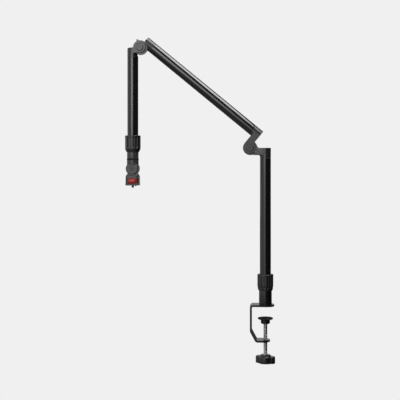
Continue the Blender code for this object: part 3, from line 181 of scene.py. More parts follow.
def boxOutline(width, height, corner, steps=6, lowCorner=None):
    # rounded rectangle: four corner centres, each with a quarter circle; the lower two may be rounder
    q = np.linspace(0, np.pi / 2, steps + 1)
    low = corner if lowCorner is None else lowCorner
    quarters = []
    for k, (sx, sy) in enumerate([(1, 1), (-1, 1), (-1, -1), (1, -1)]):
        r = corner if sy > 0 else low
        a = q + k * np.pi / 2
        x = sx * (width / 2 - r) + r * np.cos(a)
        y = sy * (height / 2 - r) + r * np.sin(a)
        quarters.append(np.stack([x, y], -1))
    return np.concatenate(quarters)


def hexOutline(flats, corner=0.3, steps=3):
    # six corners, each an arc of 60 degrees
    centres = np.arange(6) * np.pi / 3
    fan = np.linspace(-np.pi / 6, np.pi / 6, steps + 1)
    reach = flats / math.sqrt(3) - corner / math.cos(np.pi / 6)
    a = centres[:, None]
    x = reach * np.cos(a) + corner * np.cos(a + fan)
    y = reach * np.sin(a) + corner * np.sin(a + fan)
    return np.stack([x, y], -1).reshape(-1, 2)


def hexRadius(a, flats):
    # distance from the middle of a hexagon to its side, along each angle
    fold = (a + np.pi / 6) % (np.pi / 3) - np.pi / 6
    return flats / 2 / np.cos(np.abs(np.abs(fold) - np.pi / 6))


def moved(part, origin, xAxis=(1, 0, 0), yAxis=(0, 1, 0), zAxis=(0, 0, 1)):
    # local x, y, z run along the three given axes, from the given origin
    verts, faces = part
    return verts @ np.array([xAxis, yAxis, zAxis], float) + np.array(origin, float), faces


def alongDepth(part, x, z):
    # turns a part made along z so that it points along +Y, on the axis through (x, z)
    return moved(part, (x, 0, z), (1, 0, 0), (0, 0, -1), (0, 1, 0))


def frontPlate(outline, low, high, x, z, edge=0.0, steps=4):
    # an outline in the (x, z) plane, z upwards, carried along +Y from low to high
    if np.max(edge) > 0:
        surface = plateSurface(outline, low, high, edge, steps)
    else:
        surface = straightPlate(outline, low, high)
    return moved(surface, (x, 0, z), (1, 0, 0), (0, 0, 1), (0, 1, 0))


def straightPlate(outline, low, high):
    rings = [np.column_stack([outline, np.full(len(outline), h)]) for h in (low, high)]
    return ringGrid(np.stack(rings))


def threadSurface(radius, depth, pitch, low, high, around=40, perTurn=8, ends=0.6):
    # radius - depth * (1 - crest), where crest is a triangle wave of (height / pitch - angle / full turn),
    # stretched and clipped so that crests and roots are flat; crests are half as high at both ends
    a = np.linspace(0, 2 * np.pi, around, endpoint=False)
    rows = int((high - low) / pitch * perTurn) + 1
    h = np.linspace(low, high, rows)[:, None]
    wave = np.abs(((h / pitch - a / (2 * np.pi)) % 1) * 2 - 1)
    crest = np.clip(wave * 1.35 - 0.1, 0, 1)
    fade = np.clip(np.minimum(h - low, high - h) / (pitch * ends), 0, 1)
    r = radius - depth * (1 - crest) - 0.5 * depth * (1 - fade) * crest
    points = np.stack([r * np.cos(a), r * np.sin(a), h + 0 * a], axis=-1)
    return ringGrid(points)


def bareObject(name, part):
    verts, faces = part
    mesh = bpy.data.meshes.new(name)
    mesh.from_pydata(np.asarray(verts).tolist(), [], faces)
    bm = bmesh.new()
    bm.from_mesh(mesh)
    bmesh.ops.recalc_face_normals(bm, faces=bm.faces)
    bm.to_mesh(mesh)
    bm.free()
    made = bpy.data.objects.new(name, mesh)
    bpy.context.scene.collection.objects.link(made)
    return made


def carved(part, tools, operation="DIFFERENCE"):
    # the surface with each tool's volume taken away, or added with UNION, one exact boolean after another
    for tool in tools:
        block = bareObject("block", part)
        cutter = bareObject("cutter", tool)
        change = block.modifiers.new("change", "BOOLEAN")
        change.operation = operation
        change.solver = "EXACT"
        change.object = cutter
        result = bpy.data.meshes.new_from_object(block.evaluated_get(bpy.context.evaluated_depsgraph_get()))
        verts = np.empty(len(result.vertices) * 3)
        result.vertices.foreach_get("co", verts)
        part = verts.reshape(-1, 3), [list(face.vertices) for face in result.polygons]
        bpy.data.meshes.remove(result)
        for thing in (block, cutter):
            bpy.data.objects.remove(thing)
    return part


def addPiece(name, part, body, finish, hides=(), smooth=35, edge=0.0):
    # one mesh object at the origin, riding on its body and standing for the nodes it hides; a body given as
    # anything but a name, such as (near, far, start, end), leaves it on no body, with its transform baked
    # into the mesh
    verts, faces = part
    mesh = bpy.data.meshes.new(name)
    mesh.from_pydata((np.asarray(verts) * mm).tolist(), [], faces)
    mesh.validate()
    bm = bmesh.new()
    bm.from_mesh(mesh)
    bmesh.ops.recalc_face_normals(bm, faces=bm.faces)
    bm.to_mesh(mesh)
    bm.free()
    return dressed(name, mesh, body, finish, hides, smooth, edge)


def dressed(name, mesh, body, finish, hides, smooth, edge):
    mesh.shade_smooth()
    mesh.set_sharp_from_angle(angle=math.radians(smooth))
    mesh.materials.clear()
    mesh.materials.append(finish)
    piece = bpy.data.objects.new(name, mesh)
    bpy.context.scene.collection.objects.link(piece)
    if edge:
        bevel = piece.modifiers.new("rounded edges", "BEVEL")
        bevel.width = edge * mm
        bevel.segments = 3
        bevel.limit_method = "ANGLE"
        bevel.angle_limit = math.radians(smooth)
        bevel.use_clamp_overlap = True
        bevel.harden_normals = True
    if isinstance(body, str):
        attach(piece, body)
    else:
        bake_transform(piece)
    if hides:
        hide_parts(*hides)
    return piece


def weldedNode(node):
    # a frame piece's triangles welded together, with its flat areas made one face again
    weldDistance = 2e-6
    flatAngle = math.radians(0.6)
    bm = bmesh.new()
    bm.from_mesh(frame["nodes"][node].data)
    bmesh.ops.remove_doubles(bm, verts=bm.verts, dist=weldDistance)
    bmesh.ops.dissolve_limit(bm, angle_limit=flatAngle, verts=bm.verts, edges=bm.edges)
    return bm


def mergedNode(node):
    # a welded frame piece as vertices and faces, in millimetres
    bm = weldedNode(node)
    verts = np.array([v.co[:] for v in bm.verts]) / mm
    faces = [[v.index for v in face.verts] for face in bm.faces]
    bm.free()
    return verts, faces


def softEdged(node, body, finish, edge, smooth=30):
    # a welded copy of a frame piece with its edges rounded
    bm = weldedNode(node)
    mesh = bpy.data.meshes.new(node + "_piece")
    bm.to_mesh(mesh)
    bm.free()
    return dressed(node + "_piece", mesh, body, finish, [node], smooth, edge)


def colour(code):
    # sRGB hex to linear red, green, blue, alpha
    part = [int(code[i:i + 2], 16) / 255 for i in (1, 3, 5)]
    return tuple(c / 12.92 if c <= 0.04045 else ((c + 0.055) / 1.055) ** 2.4 for c in part) + (1.0,)


def addNode(tree, kind, settings=None, links=None):
    # settings are node properties or input values; links are input name: (node, output name)
    node = tree.nodes.new(kind)
    for key, value in (settings or {}).items():
        if isinstance(key, str) and hasattr(node, key):
            setattr(node, key, value)
        else:
            node.inputs[key].default_value = value
    for key, (source, output) in (links or {}).items():
        tree.links.new(source.outputs[output], node.inputs[key])
    return node


def newMaterial(name):
    made = bpy.data.materials.new(name)
    made.use_nodes = True
    tree = made.node_tree
    tree.nodes.clear()
    out = addNode(tree, "ShaderNodeOutputMaterial")
    return made, tree, out


def surfaceFinish(name, look):
    # two hex colours mixed by a noise of patchMm, roughness varied by the same noise, and a bump of grainMm;
    # the pattern is turned first and then stretched along z, for extruded or brushed surfaces
    made, tree, out = newMaterial(name)
    coords = addNode(tree, "ShaderNodeTexCoord")
    turned = addNode(tree, "ShaderNodeMapping", {"Rotation": look.get("turn", (0, 0, 0))}, {
        "Vector": (coords, "Object")})
    pattern = addNode(tree, "ShaderNodeMapping", {"Scale": look.get("stretch", (1, 1, 1))}, {
        "Vector": (turned, "Vector")})
    tone = addNode(tree, "ShaderNodeTexNoise", {"Scale": 1000 / look["patchMm"], "Detail": 3.0}, {
        "Vector": (pattern, "Vector")})
    grain = addNode(tree, "ShaderNodeTexNoise", {"Scale": 1000 / look["grainMm"], "Detail": 2.0}, {
        "Vector": (pattern, "Vector")})
    mix = addNode(tree, "ShaderNodeMix", {"data_type": "RGBA"})
    tree.links.new(tone.outputs["Fac"], mix.inputs[0])
    mix.inputs[6].default_value = colour(look["dark"])
    mix.inputs[7].default_value = colour(look["light"])
    rough = addNode(tree, "ShaderNodeMapRange", {
        "To Min": look["roughness"] - look["roughVary"], "To Max": look["roughness"] + look["roughVary"],
    }, {"Value": (tone, "Fac")})
    bump = addNode(tree, "ShaderNodeBump", {"Strength": look["bump"], "Distance": look["bumpMm"] * mm}, {
        "Height": (grain, "Fac")})
    shader = addNode(tree, "ShaderNodeBsdfPrincipled", {
        "Metallic": look.get("metallic", 0.0), "IOR": look.get("ior", 1.5),
        "Coat Weight": look.get("coat", 0.0), "Coat Roughness": look.get("coatRoughness", 0.1),
    }, {"Roughness": (rough, "Result"), "Normal": (bump, "Normal")})
    tree.links.new(mix.outputs[2], shader.inputs["Base Color"])
    tree.links.new(shader.outputs["BSDF"], out.inputs["Surface"])
    return made


# Anodised aluminium tube, extruded and dyed black: smooth, with faint lines along its length.
tubeLook = {
    "dark": "#121213", "light": "#18181a", "patchMm": 18, "grainMm": 0.9, "roughness": 0.19,
    "roughVary": 0.02, "bump": 0.06, "bumpMm": 0.02, "stretch": (1, 1, 0.02), "ior": 1.5,
}
# The same tube on the slanted arm, with the lines turned to run along it.
armTubeLook = dict(tubeLook, turn=(0, math.radians(90 - armRise), 0))
# Die-cast aluminium of the elbows, powder coated: a smooth satin with a fine orange peel.
castLook = {
    "dark": "#1e1e1f", "light": "#262627", "patchMm": 9, "grainMm": 0.7, "roughness": 0.33,
    "roughVary": 0.04, "bump": 0.14, "bumpMm": 0.05, "ior": 1.5,
}
# The head's castings, in a greyer and softer coat.
headCastLook = dict(castLook, dark="#2f2f30", light="#393939", roughness=0.42)
# Bent steel strip, powder coated a little glossier than the castings.
stripLook = {
    "dark": "#111112", "light": "#181819", "patchMm": 12, "grainMm": 0.8, "roughness": 0.28,
    "roughVary": 0.04, "bump": 0.14, "bumpMm": 0.05, "ior": 1.5,
}
# Glass-filled nylon, moulded: dark, even, with a fine spark-eroded grain.
nylonLook = {
    "dark": "#151515", "light": "#1e1e1e", "patchMm": 6, "grainMm": 0.5, "roughness": 0.38,
    "roughVary": 0.04, "bump": 0.16, "bumpMm": 0.05, "ior": 1.53,
}
# Rubber facing of the pressure pad and the trim ring: deep matt black.
rubberLook = {
    "dark": "#080808", "light": "#0f0f0f", "patchMm": 5, "grainMm": 0.6, "roughness": 0.85,
    "roughVary": 0.05, "bump": 0.3, "bumpMm": 0.08, "ior": 1.4,
}
# ABS, moulded in black, for the knob and small covers.
absLook = {
    "dark": "#121212", "light": "#1a1a1a", "patchMm": 8, "grainMm": 0.9, "roughness": 0.34,
    "roughVary": 0.04, "bump": 0.12, "bumpMm": 0.04, "ior": 1.54,
}
# ABS, moulded in red, for the release button: a satin face.
redLook = {
    "dark": "#9a2318", "light": "#ac2d1e", "patchMm": 5, "grainMm": 0.6, "roughness": 0.30,
    "roughVary": 0.03, "bump": 0.08, "bumpMm": 0.03, "ior": 1.46,
}
# Zinc-plated steel of the clamp screw and nuts: bright, slightly milky.
zincLook = {
    "dark": "#a9a9a6", "light": "#c4c4c1", "patchMm": 4, "grainMm": 0.5, "roughness": 0.30,
    "roughVary": 0.05, "bump": 0.10, "bumpMm": 0.02, "metallic": 1.0,
}
# Steel with a black oxide, for the pivot bolts, the stud and grub screws: dark metal, oily sheen.
oxideLook = {
    "dark": "#2a2a2c", "light": "#3a3a3d", "patchMm": 3, "grainMm": 0.5, "roughness": 0.36,
    "roughVary": 0.05, "bump": 0.10, "bumpMm": 0.02, "metallic": 0.85,
}
# Natural nylon of the washers and collets: milky white.
whiteNylonLook = {
    "dark": "#cfcdc6", "light": "#dddbd4", "patchMm": 6, "grainMm": 0.8, "roughness": 0.5,
    "roughVary": 0.04, "bump": 0.08, "bumpMm": 0.03, "ior": 1.53,
}
tubeFinish = surfaceFinish("blackAnodisedAluminium", tubeLook)
armTubeFinish = surfaceFinish("blackAnodisedAluminiumArm", armTubeLook)
castFinish = surfaceFinish("powderCoatedCasting", castLook)
headCastFinish = surfaceFinish("powderCoatedHeadCasting", headCastLook)
stripFinish = surfaceFinish("powderCoatedSteelStrip", stripLook)
nylonFinish = surfaceFinish("mouldedBlackNylon", nylonLook)
rubberFinish = surfaceFinish("mattBlackRubber", rubberLook)
absFinish = surfaceFinish("mouldedBlackAbs", absLook)
redFinish = surfaceFinish("mouldedRedAbs", redLook)
zincFinish = surfaceFinish("zincPlatedSteel", zincLook)
oxideFinish = surfaceFinish("blackOxideSteel", oxideLook)
whiteNylonFinish = surfaceFinish("naturalNylon", whiteNylonLook)
slotFinish = {
    "tube": tubeFinish, "casting": castFinish, "strip": stripFinish, "collar": nylonFinish,
    "rubber": rubberFinish, "plastic": absFinish, "red": redFinish, "steel": zincFinish,
    "dark_steel": oxideFinish, "liner": whiteNylonFinish,
}
otherFinishes = [armTubeFinish, headCastFinish]
for entry in frame["record"]["subparts"]:
    node = frame["nodes"][entry["node"]]
    node.data.materials.clear()
    node.data.materials.append(slotFinish[entry["material_slot"]])
print("finishes made:", len(slotFinish) + len(otherFinishes))


# Tubes, drilled at the back for their grub screws.
tubes = {"radius": 14.25, "bore": 12.25, "endRound": 0.35, "hole": 2.8, "rows": 12, "postLow": 17.1,
         "postHigh": 384.0, "inCap": 26, "armHigh": 362.5, "margin": 2, "around": 96}


def tubeWall(low, high):
    # outer wall, rounded rims, inner wall, as one closed profile
    r, b, e = tubes["radius"], tubes["bore"], tubes["endRound"]
    profile = rounded([(b, low), (r, low, e), (r, high, e), (b, high)])
    margin = tubes["margin"]
    outer = np.stack([np.full(tubes["rows"], r), np.linspace(low + margin, high - margin, tubes["rows"])], -1)
    cut = np.searchsorted(profile[:, 1], low + margin)
    profile = np.concatenate([profile[:cut], outer, profile[cut:]])
    return turnedSurface(profile, tubes["around"], hollow=True)


def grubHole(node):
    # a rod along Y through the tube wall, where the grub screw's node is
    low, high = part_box(node)
    x, y, z = [(low[i] + high[i]) / 2 / mm for i in range(3)]
    inner, outer = tubes["bore"] - tubes["margin"], tubes["radius"] + tubes["margin"]
    near, far = sorted((math.copysign(inner, y), math.copysign(outer, y)))
    return alongDepth(rod(tubes["hole"], near, far, 32), x, z)


armFrame = dict(xAxis=armUp, yAxis=depthAxis, zAxis=armOut)
postTube = carved(tubeWall(tubes["postLow"], tubes["postHigh"]), [grubHole("post_cap_grub")])
addPiece("postTube", postTube, "post", tubeFinish, ["post_tube"])
armTube = moved(tubeWall(tubes["inCap"], tubes["armHigh"]), armStart, **armFrame)
armTube = carved(armTube, [grubHole("arm_lower_grub"), grubHole("arm_upper_grub")])
addPiece("armTube", armTube, "arm", armTubeFinish, ["arm_tube"])
dropTube = moved(tubeWall(dropEnd, upperElbow[2] - tubes["inCap"]), (dropX, 0, 0))
dropTube = carved(dropTube, [grubHole("drop_cap_grub")])
addPiece("dropTube", dropTube, "drop", tubeFinish, ["drop_tube"])
print("tubes made")


# Castings and the bent strip, cut from the frame's own shapes with rounded edges.
castingEdge = 0.7
stripEdge = 1.0
softEdged("post_cap", "post", castFinish, castingEdge)
softEdged("arm_upper_cap", "arm", castFinish, castingEdge)
softEdged("clamp_frame", "clamp", stripFinish, stripEdge)
# The two forked caps also get a groove round each ear and one round each bolt head and nut cover.
forkGrooves = {"ear": (13.8, 15.4), "bolt": (9.3, 10.7), "cover": (10.3, 11.7), "face": 15.0, "deep": 2.0,
               "boltDeep": 1.5, "edge": 0.6, "beyond": 3}


def grooveRing(radii, depth, side, elbow):
    # a band between two radii about the elbow's axis, from outside the face to depth inside it
    face = forkGrooves["face"]
    near, far = sorted((side * (face - depth), side * (face + forkGrooves["beyond"])))
    inner, outer = radii
    band = turnedSurface([(inner, near), (outer, near), (outer, far), (inner, far)], 96, hollow=True)
    return alongDepth(band, elbow[0], elbow[2])


for node, body, elbow in (("arm_lower_cap", "arm", lowerElbow), ("drop_cap", "drop", upperElbow)):
    rings = [grooveRing(forkGrooves["ear"], forkGrooves["deep"], side, elbow) for side in (-1, 1)]
    rings.append(grooveRing(forkGrooves["bolt"], forkGrooves["boltDeep"], -1, elbow))
    rings.append(grooveRing(forkGrooves["cover"], forkGrooves["boltDeep"], 1, elbow))
    grooved = carved(mergedNode(node), rings)
    addPiece(node + "_piece", grooved, body, castFinish, [node], 30, forkGrooves["edge"])
print("castings and clamp strip made")


# Ribbed twist collars.
collars = {"ribs": 15, "depth": 1.5, "share": 0.40, "crown": 0.3, "around": 360, "steep": 2.2, "step": 0.8,
           "smooth": 50}


def ribbedCollar(outside, inside, firstGroove):
    # radius = outside(height) - fade(height) * (depth * groove(angle) + crown * fall(angle)); groove is a
    # smooth trough once per rib, and fall lets each rib drop off towards the groove on both its sides
    a = np.linspace(0, 2 * np.pi, collars["around"], endpoint=False)
    phase = ((a - math.radians(firstGroove)) * collars["ribs"] / (2 * np.pi) + 0.5) % 1 - 0.5
    across = np.clip(np.abs(phase) / (collars["share"] / 2), 0, 1)
    groove = np.clip((1 - across) * collars["steep"], 0, 1)
    groove = groove * groove * (3 - 2 * groove)
    fall = np.clip((0.5 - np.abs(phase)) / (0.5 - collars["share"] / 2), 0, 1) ** 2
    r, h, fade = outside[:, :1], outside[:, 1:2], outside[:, 2:3]
    radius = r - fade * (collars["depth"] * groove + collars["crown"] * fall)
    outer = np.stack([radius * np.cos(a), radius * np.sin(a), h + 0 * a], -1)
    ri, hi = inside[:, :1], inside[:, 1:2]
    inner = np.stack([ri * np.cos(a), ri * np.sin(a), hi + 0 * a], -1)
    return ringGrid(np.concatenate([outer, inner]), closeRows=True)


def collarSkin(corners, low, high, rise):
    # the outer profile with rounded corners, filled in at every step; grooves fade in over rise at both ends
    line = rounded(corners, 6)
    gaps = np.linalg.norm(np.diff(line, axis=0), axis=1)
    along = np.concatenate([[0], np.cumsum(gaps)])
    spots = np.unique(np.concatenate([along, np.arange(0, along[-1], collars["step"])]))
    r = np.interp(spots, along, line[:, 0])
    h = np.interp(spots, along, line[:, 1])
    t = np.clip(np.minimum(h - low, high - h) / rise, 0, 1)
    return np.stack([r, h, t * t * (3 - 2 * t)], -1)


lowerCollar = {"radius": 20.7, "bottom": 41.3, "top": 82.7, "turn": -30.5, "bore": 16.8, "lip": 14.65,
               "lipDeep": 6.7, "seat": 15.85, "seatDeep": 7.5, "boreDeep": 16.4}
r, low, top = lowerCollar["radius"], lowerCollar["bottom"], lowerCollar["top"]
# Corners of the outer profile: a narrow foot, a flare to the full radius, and a rounded top.
lowerCorners = [(r - 3.3, low), (r - 2.3, low, 0.6), (r - 1.1, low + 4.8, 5), (r, low + 12.5, 12),
                (r, top, 1.7), (r - 2.5, top)]
lowerSkin = collarSkin(lowerCorners, low + 4.4, top - 3, 3)
lowerBore = np.array([
    (lowerCollar["lip"], top), (lowerCollar["lip"], top - lowerCollar["lipDeep"]),
    (lowerCollar["seat"], top - lowerCollar["seatDeep"]),
    (lowerCollar["bore"], top - lowerCollar["boreDeep"]), (lowerCollar["bore"], low)])
lowerPart = ribbedCollar(lowerSkin, lowerBore, -90 + lowerCollar["turn"])
addPiece("lowerCollar", lowerPart, "lower_collar", nylonFinish, ["lower_collar"],
         collars["smooth"])

upperCollar = {"radius": 20.5, "bottom": dropEnd - 28.9, "top": dropEnd + 14.5, "turn": -8.2, "bore": 15.4,
               "lip": 14.65, "shoulder": 11.6}
r, low, top = upperCollar["radius"], upperCollar["bottom"], upperCollar["top"]
upperCorners = [(r - 5, low), (r - 4, low, 0.4), (r - 0.1, low + 8.2, 3), (r, top, 1.7), (r - 2.9, top)]
upperSkin = collarSkin(upperCorners, low + 9, top - 3, 3)
b = upperCollar["bore"]
upperBore = np.array([
    (upperCollar["lip"], top), (upperCollar["lip"], dropEnd + 1.7), (b, dropEnd + running), (b, low + 10.6),
    (upperCollar["shoulder"], low + 4.6), (upperCollar["shoulder"], low + 2), (b, low + 2), (b, low)])
upperPart = ribbedCollar(upperSkin, upperBore, -90 + upperCollar["turn"])
upperPart = moved(upperPart, (dropX, 0, 0))
addPiece("upperCollar", upperPart, "upper_collar", nylonFinish, ["upper_collar"],
         collars["smooth"])
print("collars made")


# Post socket, head neck and trim ring.
socket = {"radius": 16.5, "bore": 14.55, "bottom": 5.3, "floor": 11.7, "top": 58.0, "round": 0.5, "hole": 2}
socketLine = rounded([
    (socket["hole"], socket["floor"]), (socket["hole"], socket["bottom"]),
    (socket["radius"], socket["bottom"], socket["round"]), (socket["radius"], socket["top"], socket["round"]),
    (socket["bore"], socket["top"]), (socket["bore"], socket["floor"])])
socketPart = turnedSurface(socketLine, 96, hollow=True)
addPiece("baseSocket", socketPart, "clamp", stripFinish, ["base_socket"])

neckTop = neckBottom + 18.6
neck = {"radius": 15.1, "top": neckTop, "shoulder": 11.2, "shoulderTop": neckTop + 3,
        "stem": 8.0, "groove": 7.0, "round": 0.6, "boreTop": neckBottom + 15, "grooveLow": dropEnd + 17.8,
        "grooveHigh": dropEnd + 19.6, "bevelLow": dropEnd + 21.0, "end": dropEnd + 21.5}
neckBore = neck["groove"] + running
neckLine = np.concatenate([
    [(neckBore, neck["boreTop"]), (neckBore, neckBottom)],
    rounded([(neckBore, neckBottom), (neck["radius"], neckBottom, neck["round"]),
             (neck["radius"], neck["top"], neck["round"]), (neck["shoulder"], neck["top"]),
             (neck["shoulder"], neck["shoulderTop"], 0.3), (neck["stem"], neck["shoulderTop"])])[1:],
    [(neck["stem"], neck["grooveLow"]), (neck["groove"], neck["grooveLow"]),
     (neck["groove"], neck["grooveHigh"]), (neck["stem"], neck["grooveHigh"]),
     (neck["stem"], neck["bevelLow"]), (neck["stem"] - 0.5, neck["end"])]])
addPiece("headNeck", moved(turnedSurface(neckLine, 96), (dropX, 0, 0)), "head", headCastFinish,
         ["head_stem"])

# The soft trim ring fills the whole space between fork and neck, so no light shows between them.
trim = {"bore": 7.3, "radius": 15.6, "round": 0.9}
trimLine = rounded([
    (trim["bore"], forkTop), (trim["radius"], forkTop, trim["round"]),
    (trim["radius"], neckBottom, trim["round"]), (trim["bore"], neckBottom)])
trimPart = moved(turnedSurface(trimLine, 96, hollow=True), (dropX, 0, 0))
addPiece("trimRing", trimPart, "head", rubberFinish, ["trim_ring"])
print("socket, neck and trim ring made")


# Pivot bolts with hexagon sockets, and the covers over their nuts.
pivots = {"head": 9.0, "front": -18.5, "seat": -15.3, "flats": 6.0, "deep": 2.4, "shank": 4.0, "end": 16.6,
          "cover": 10.0, "coverTop": 18.7, "coverBore": 8.6, "coverFloor": 17.3, "coverRound": 1.2,
          "coverFlat": 6}
tiltPivot = {"head": 5.2, "front": -12.8, "seat": -10.4, "flats": 4, "deep": 1.7, "shank": 3, "end": 13.4}


def socketHead(radius, front, seat, flats, deep, shank, end):
    # ring by ring: socket floor, socket wall (hexagon), face, rounded rim, underside, shank
    a = np.linspace(0, 2 * np.pi, 72, endpoint=False)
    hexagon = hexRadius(a, flats)
    rings = [(hexagon, front + deep), (hexagon, front + 0.25), (hexagon + 0.25, front)]
    rim = rounded([(radius - 1.4, front), (radius, front, 0.9), (radius, seat), (shank, seat),
                   (shank, end)], 5)
    rings += [(r * np.ones_like(a), h) for r, h in rim]
    points = np.stack([np.stack([r * np.cos(a), r * np.sin(a), h + 0 * a], -1) for r, h in rings])
    return ringGrid(points)


def boltFrom(sizes):
    return socketHead(*[sizes[key] for key in ("head", "front", "seat", "flats", "deep", "shank", "end")])


coverLine = rounded([
    (pivots["coverBore"], pivots["coverFloor"]), (pivots["coverBore"], -pivots["seat"]),
    (pivots["cover"], -pivots["seat"]), (pivots["cover"], pivots["coverTop"], pivots["coverRound"]),
    (pivots["coverFlat"], pivots["coverTop"])])
for label, elbow, body in (("lower", lowerElbow, "arm"), ("upper", upperElbow, "drop")):
    bolt = alongDepth(boltFrom(pivots), elbow[0], elbow[2])
    addPiece(label + "PivotBolt", bolt, body, castFinish, [label + "_pivot_bolt"], 40)
    cover = alongDepth(turnedSurface(coverLine), elbow[0], elbow[2])
    addPiece(label + "PivotCover", cover, body, absFinish, [label + "_pivot_cover"], 40)
tiltBolt = alongDepth(boltFrom(tiltPivot), dropX, tiltZ)
addPiece("tiltBolt", tiltBolt, "head", headCastFinish, ["tilt_bolt"], 40)
print("pivots made")


# Tilt fork: its frame shape, with a shallow arched channel above each ear.
fork = {"arch": 13.9, "archWidth": 1.5, "archDeep": 1.3, "archHalf": 40, "depth": 12.8, "edge": 0.4,
        "beyond": 3}


def archOutline():
    # a band between two arcs about the tilt axis, centred on straight up
    a = np.radians(np.linspace(90 - fork["archHalf"], 90 + fork["archHalf"], 25))
    inner, outer = fork["arch"], fork["arch"] + fork["archWidth"]
    low = np.stack([inner * np.cos(a), inner * np.sin(a)], -1)
    high = np.stack([outer * np.cos(a), outer * np.sin(a)], -1)[::-1]
    return np.concatenate([low, high])


channels = [
    frontPlate(archOutline(), low, high, dropX, tiltZ)
    for low, high in ((-fork["depth"] - fork["beyond"], -fork["depth"] + fork["archDeep"]),
                      (fork["depth"] - fork["archDeep"], fork["depth"] + fork["beyond"]))
]
forkPart = carved(mergedNode("head_fork"), channels)
addPiece("tiltFork", forkPart, "head", headCastFinish, ["head_fork"], 30, fork["edge"])
print("tilt fork made")


# Quick-release housing: a block with two round shoulders, wide soft corners and a tilt tongue.
housing = {"width": 35.0, "depth": 34.0, "height": housingHeight, "corner": 6.0, "shoulder": 14.3,
           "shoulderHeight": 11.3, "foot": 2.4, "footEdge": 0.8, "tongue": 17.8, "tongueHalf": 6.0,
           "ear": 13.6, "earNear": 6.3, "earFar": 13.4, "bolt": 3.3, "boltReach": 20, "pocketFloor": -9.0,
           "flange": 13.3, "flangeDeep": 2.9, "plug": 8.3, "plugDeep": 17.3, "beyond": 3, "edge": 0.5}
latchSlot = {"half": 11.1, "front": -10, "back": 12.8, "low": 7.0, "high": 10.0}
springHole = {"radius": 2.6, "near": 9.5, "far": 15.7, "z": housingBottom + 8.5}
button = {"width": 25.6, "height": 13.4, "corner": 3.5, "lowCorner": 5.0, "middle": 11.5, "front": -18.4,
          "rim": -15.9, "back": -12.0, "gap": 0.3, "peak": 3.0}


def housingOutline():
    # (x, height) round the block, and how wide the soft edge is at each point
    side, foot = housing["width"] / 2, housing["foot"]
    start = housing["height"] - housing["shoulderHeight"]
    sweep = math.asin(housing["shoulderHeight"] / housing["shoulder"])
    t = np.linspace(0, sweep, 14)
    inner = side - housing["shoulder"]
    right = np.stack([inner + housing["shoulder"] * np.cos(t), start + housing["shoulder"] * np.sin(t)], -1)
    wall = np.stack([np.full(6, side), np.linspace(foot + 5, start, 7)[:6]], -1)
    turn = np.linspace(0, np.pi / 2, 6)
    base = np.stack([side - foot + foot * np.sin(turn), foot - foot * np.cos(turn)], -1)
    half = np.concatenate([base, wall, right])
    soft = np.concatenate([np.linspace(1, 1.6, 6) * housing["footEdge"],
                           np.full(len(wall) + len(right), housing["corner"])])
    mirrored = half[::-1] * (-1, 1)
    floor = np.linspace(-side + foot, side - foot, 11)[1:-1]
    bottom = np.stack([floor, 0 * floor], -1)
    outline = np.concatenate([half, mirrored, bottom])
    widths = np.concatenate([soft, soft[::-1], np.full(len(bottom), housing["footEdge"])])
    return outline, widths


outline, softWidth = housingOutline()
half = housing["depth"] / 2
block = frontPlate(outline, -half, half, dropX, housingBottom, softWidth, 8)
earPockets = [
    alongDepth(rod(housing["ear"], low, high, 88), dropX, tiltZ)
    for low, high in ((-housing["earFar"], -housing["earNear"]), (housing["earNear"], housing["earFar"]))
]
block = carved(block, earPockets)
tongue = alongDepth(rod(housing["tongue"], -housing["tongueHalf"], housing["tongueHalf"], 120), dropX, tiltZ)
block = carved(block, [tongue], "UNION")
mouth = boxOutline(button["width"] + 2 * button["gap"], button["height"] + 2 * button["gap"],
                   button["corner"] + button["gap"])
slotHalf, slotFront, slotBack = latchSlot["half"], latchSlot["front"], latchSlot["back"]
slotPlan = ((-slotHalf, slotFront), (slotHalf, slotFront), (slotHalf, slotBack), (-slotHalf, slotBack))
slotRings = [[(x, y, h) for x, y in slotPlan] for h in (latchSlot["low"], latchSlot["high"])]
buttonZ = housingBottom + button["middle"]
springTool = rod(springHole["radius"], springHole["near"], springHole["far"], 32)
block = carved(block, [
    frontPlate(mouth, -half - housing["beyond"], housing["pocketFloor"], dropX, buttonZ),
    alongDepth(rod(housing["bolt"], -housing["boltReach"], housing["boltReach"], 32), dropX, tiltZ),
    moved(rod(housing["flange"], -1, housing["flangeDeep"]), (dropX, 0, housingBottom)),
    moved(rod(housing["plug"], 0.5, housing["plugDeep"]), (dropX, 0, housingBottom)),
    moved(ringGrid(np.array(slotRings)), (dropX, 0, housingBottom)),
    alongDepth(springTool, dropX, springHole["z"]),
])
addPiece("releaseHousing", block, "tilt_head", headCastFinish, ["head_housing"], 30,
         housing["edge"])


def buttonSurface():
    # rings from the back to the rim, then inwards over a cushion: depth = rim - rise * sin(quarter turn *
    # share / 0.55), level from there on; the cushion shrinks towards a point above the middle by peak
    outline = boxOutline(button["width"], button["height"], button["corner"], 8, button["lowCorner"])
    inward = inwardOf(outline)
    level = np.ones(len(outline))
    rings = [np.column_stack([outline, level * button[key]]) for key in ("back", "rim")]
    rise = button["rim"] - button["front"]
    for share in np.linspace(0, 1, 25)[1:-1]:
        reach = min(share / 0.25, 1)
        drawn = outline + inward * 1.2 * reach
        shrunk = max(share - 0.05, 0) / 0.95
        drawn = drawn * (1 - shrunk) + np.array([0, button["peak"]]) * shrunk
        crown = rise * math.sin(min(share / 0.55, 1) * math.pi / 2)
        rings.append(np.column_stack([drawn, level * (button["rim"] - crown)]))
    return ringGrid(np.stack(rings))


buttonPart = moved(buttonSurface(), (dropX, 0, buttonZ), (1, 0, 0), (0, 0, 1), (0, 1, 0))
addPiece("releaseButton", buttonPart, "button", redFinish, ["release_button"], 60)

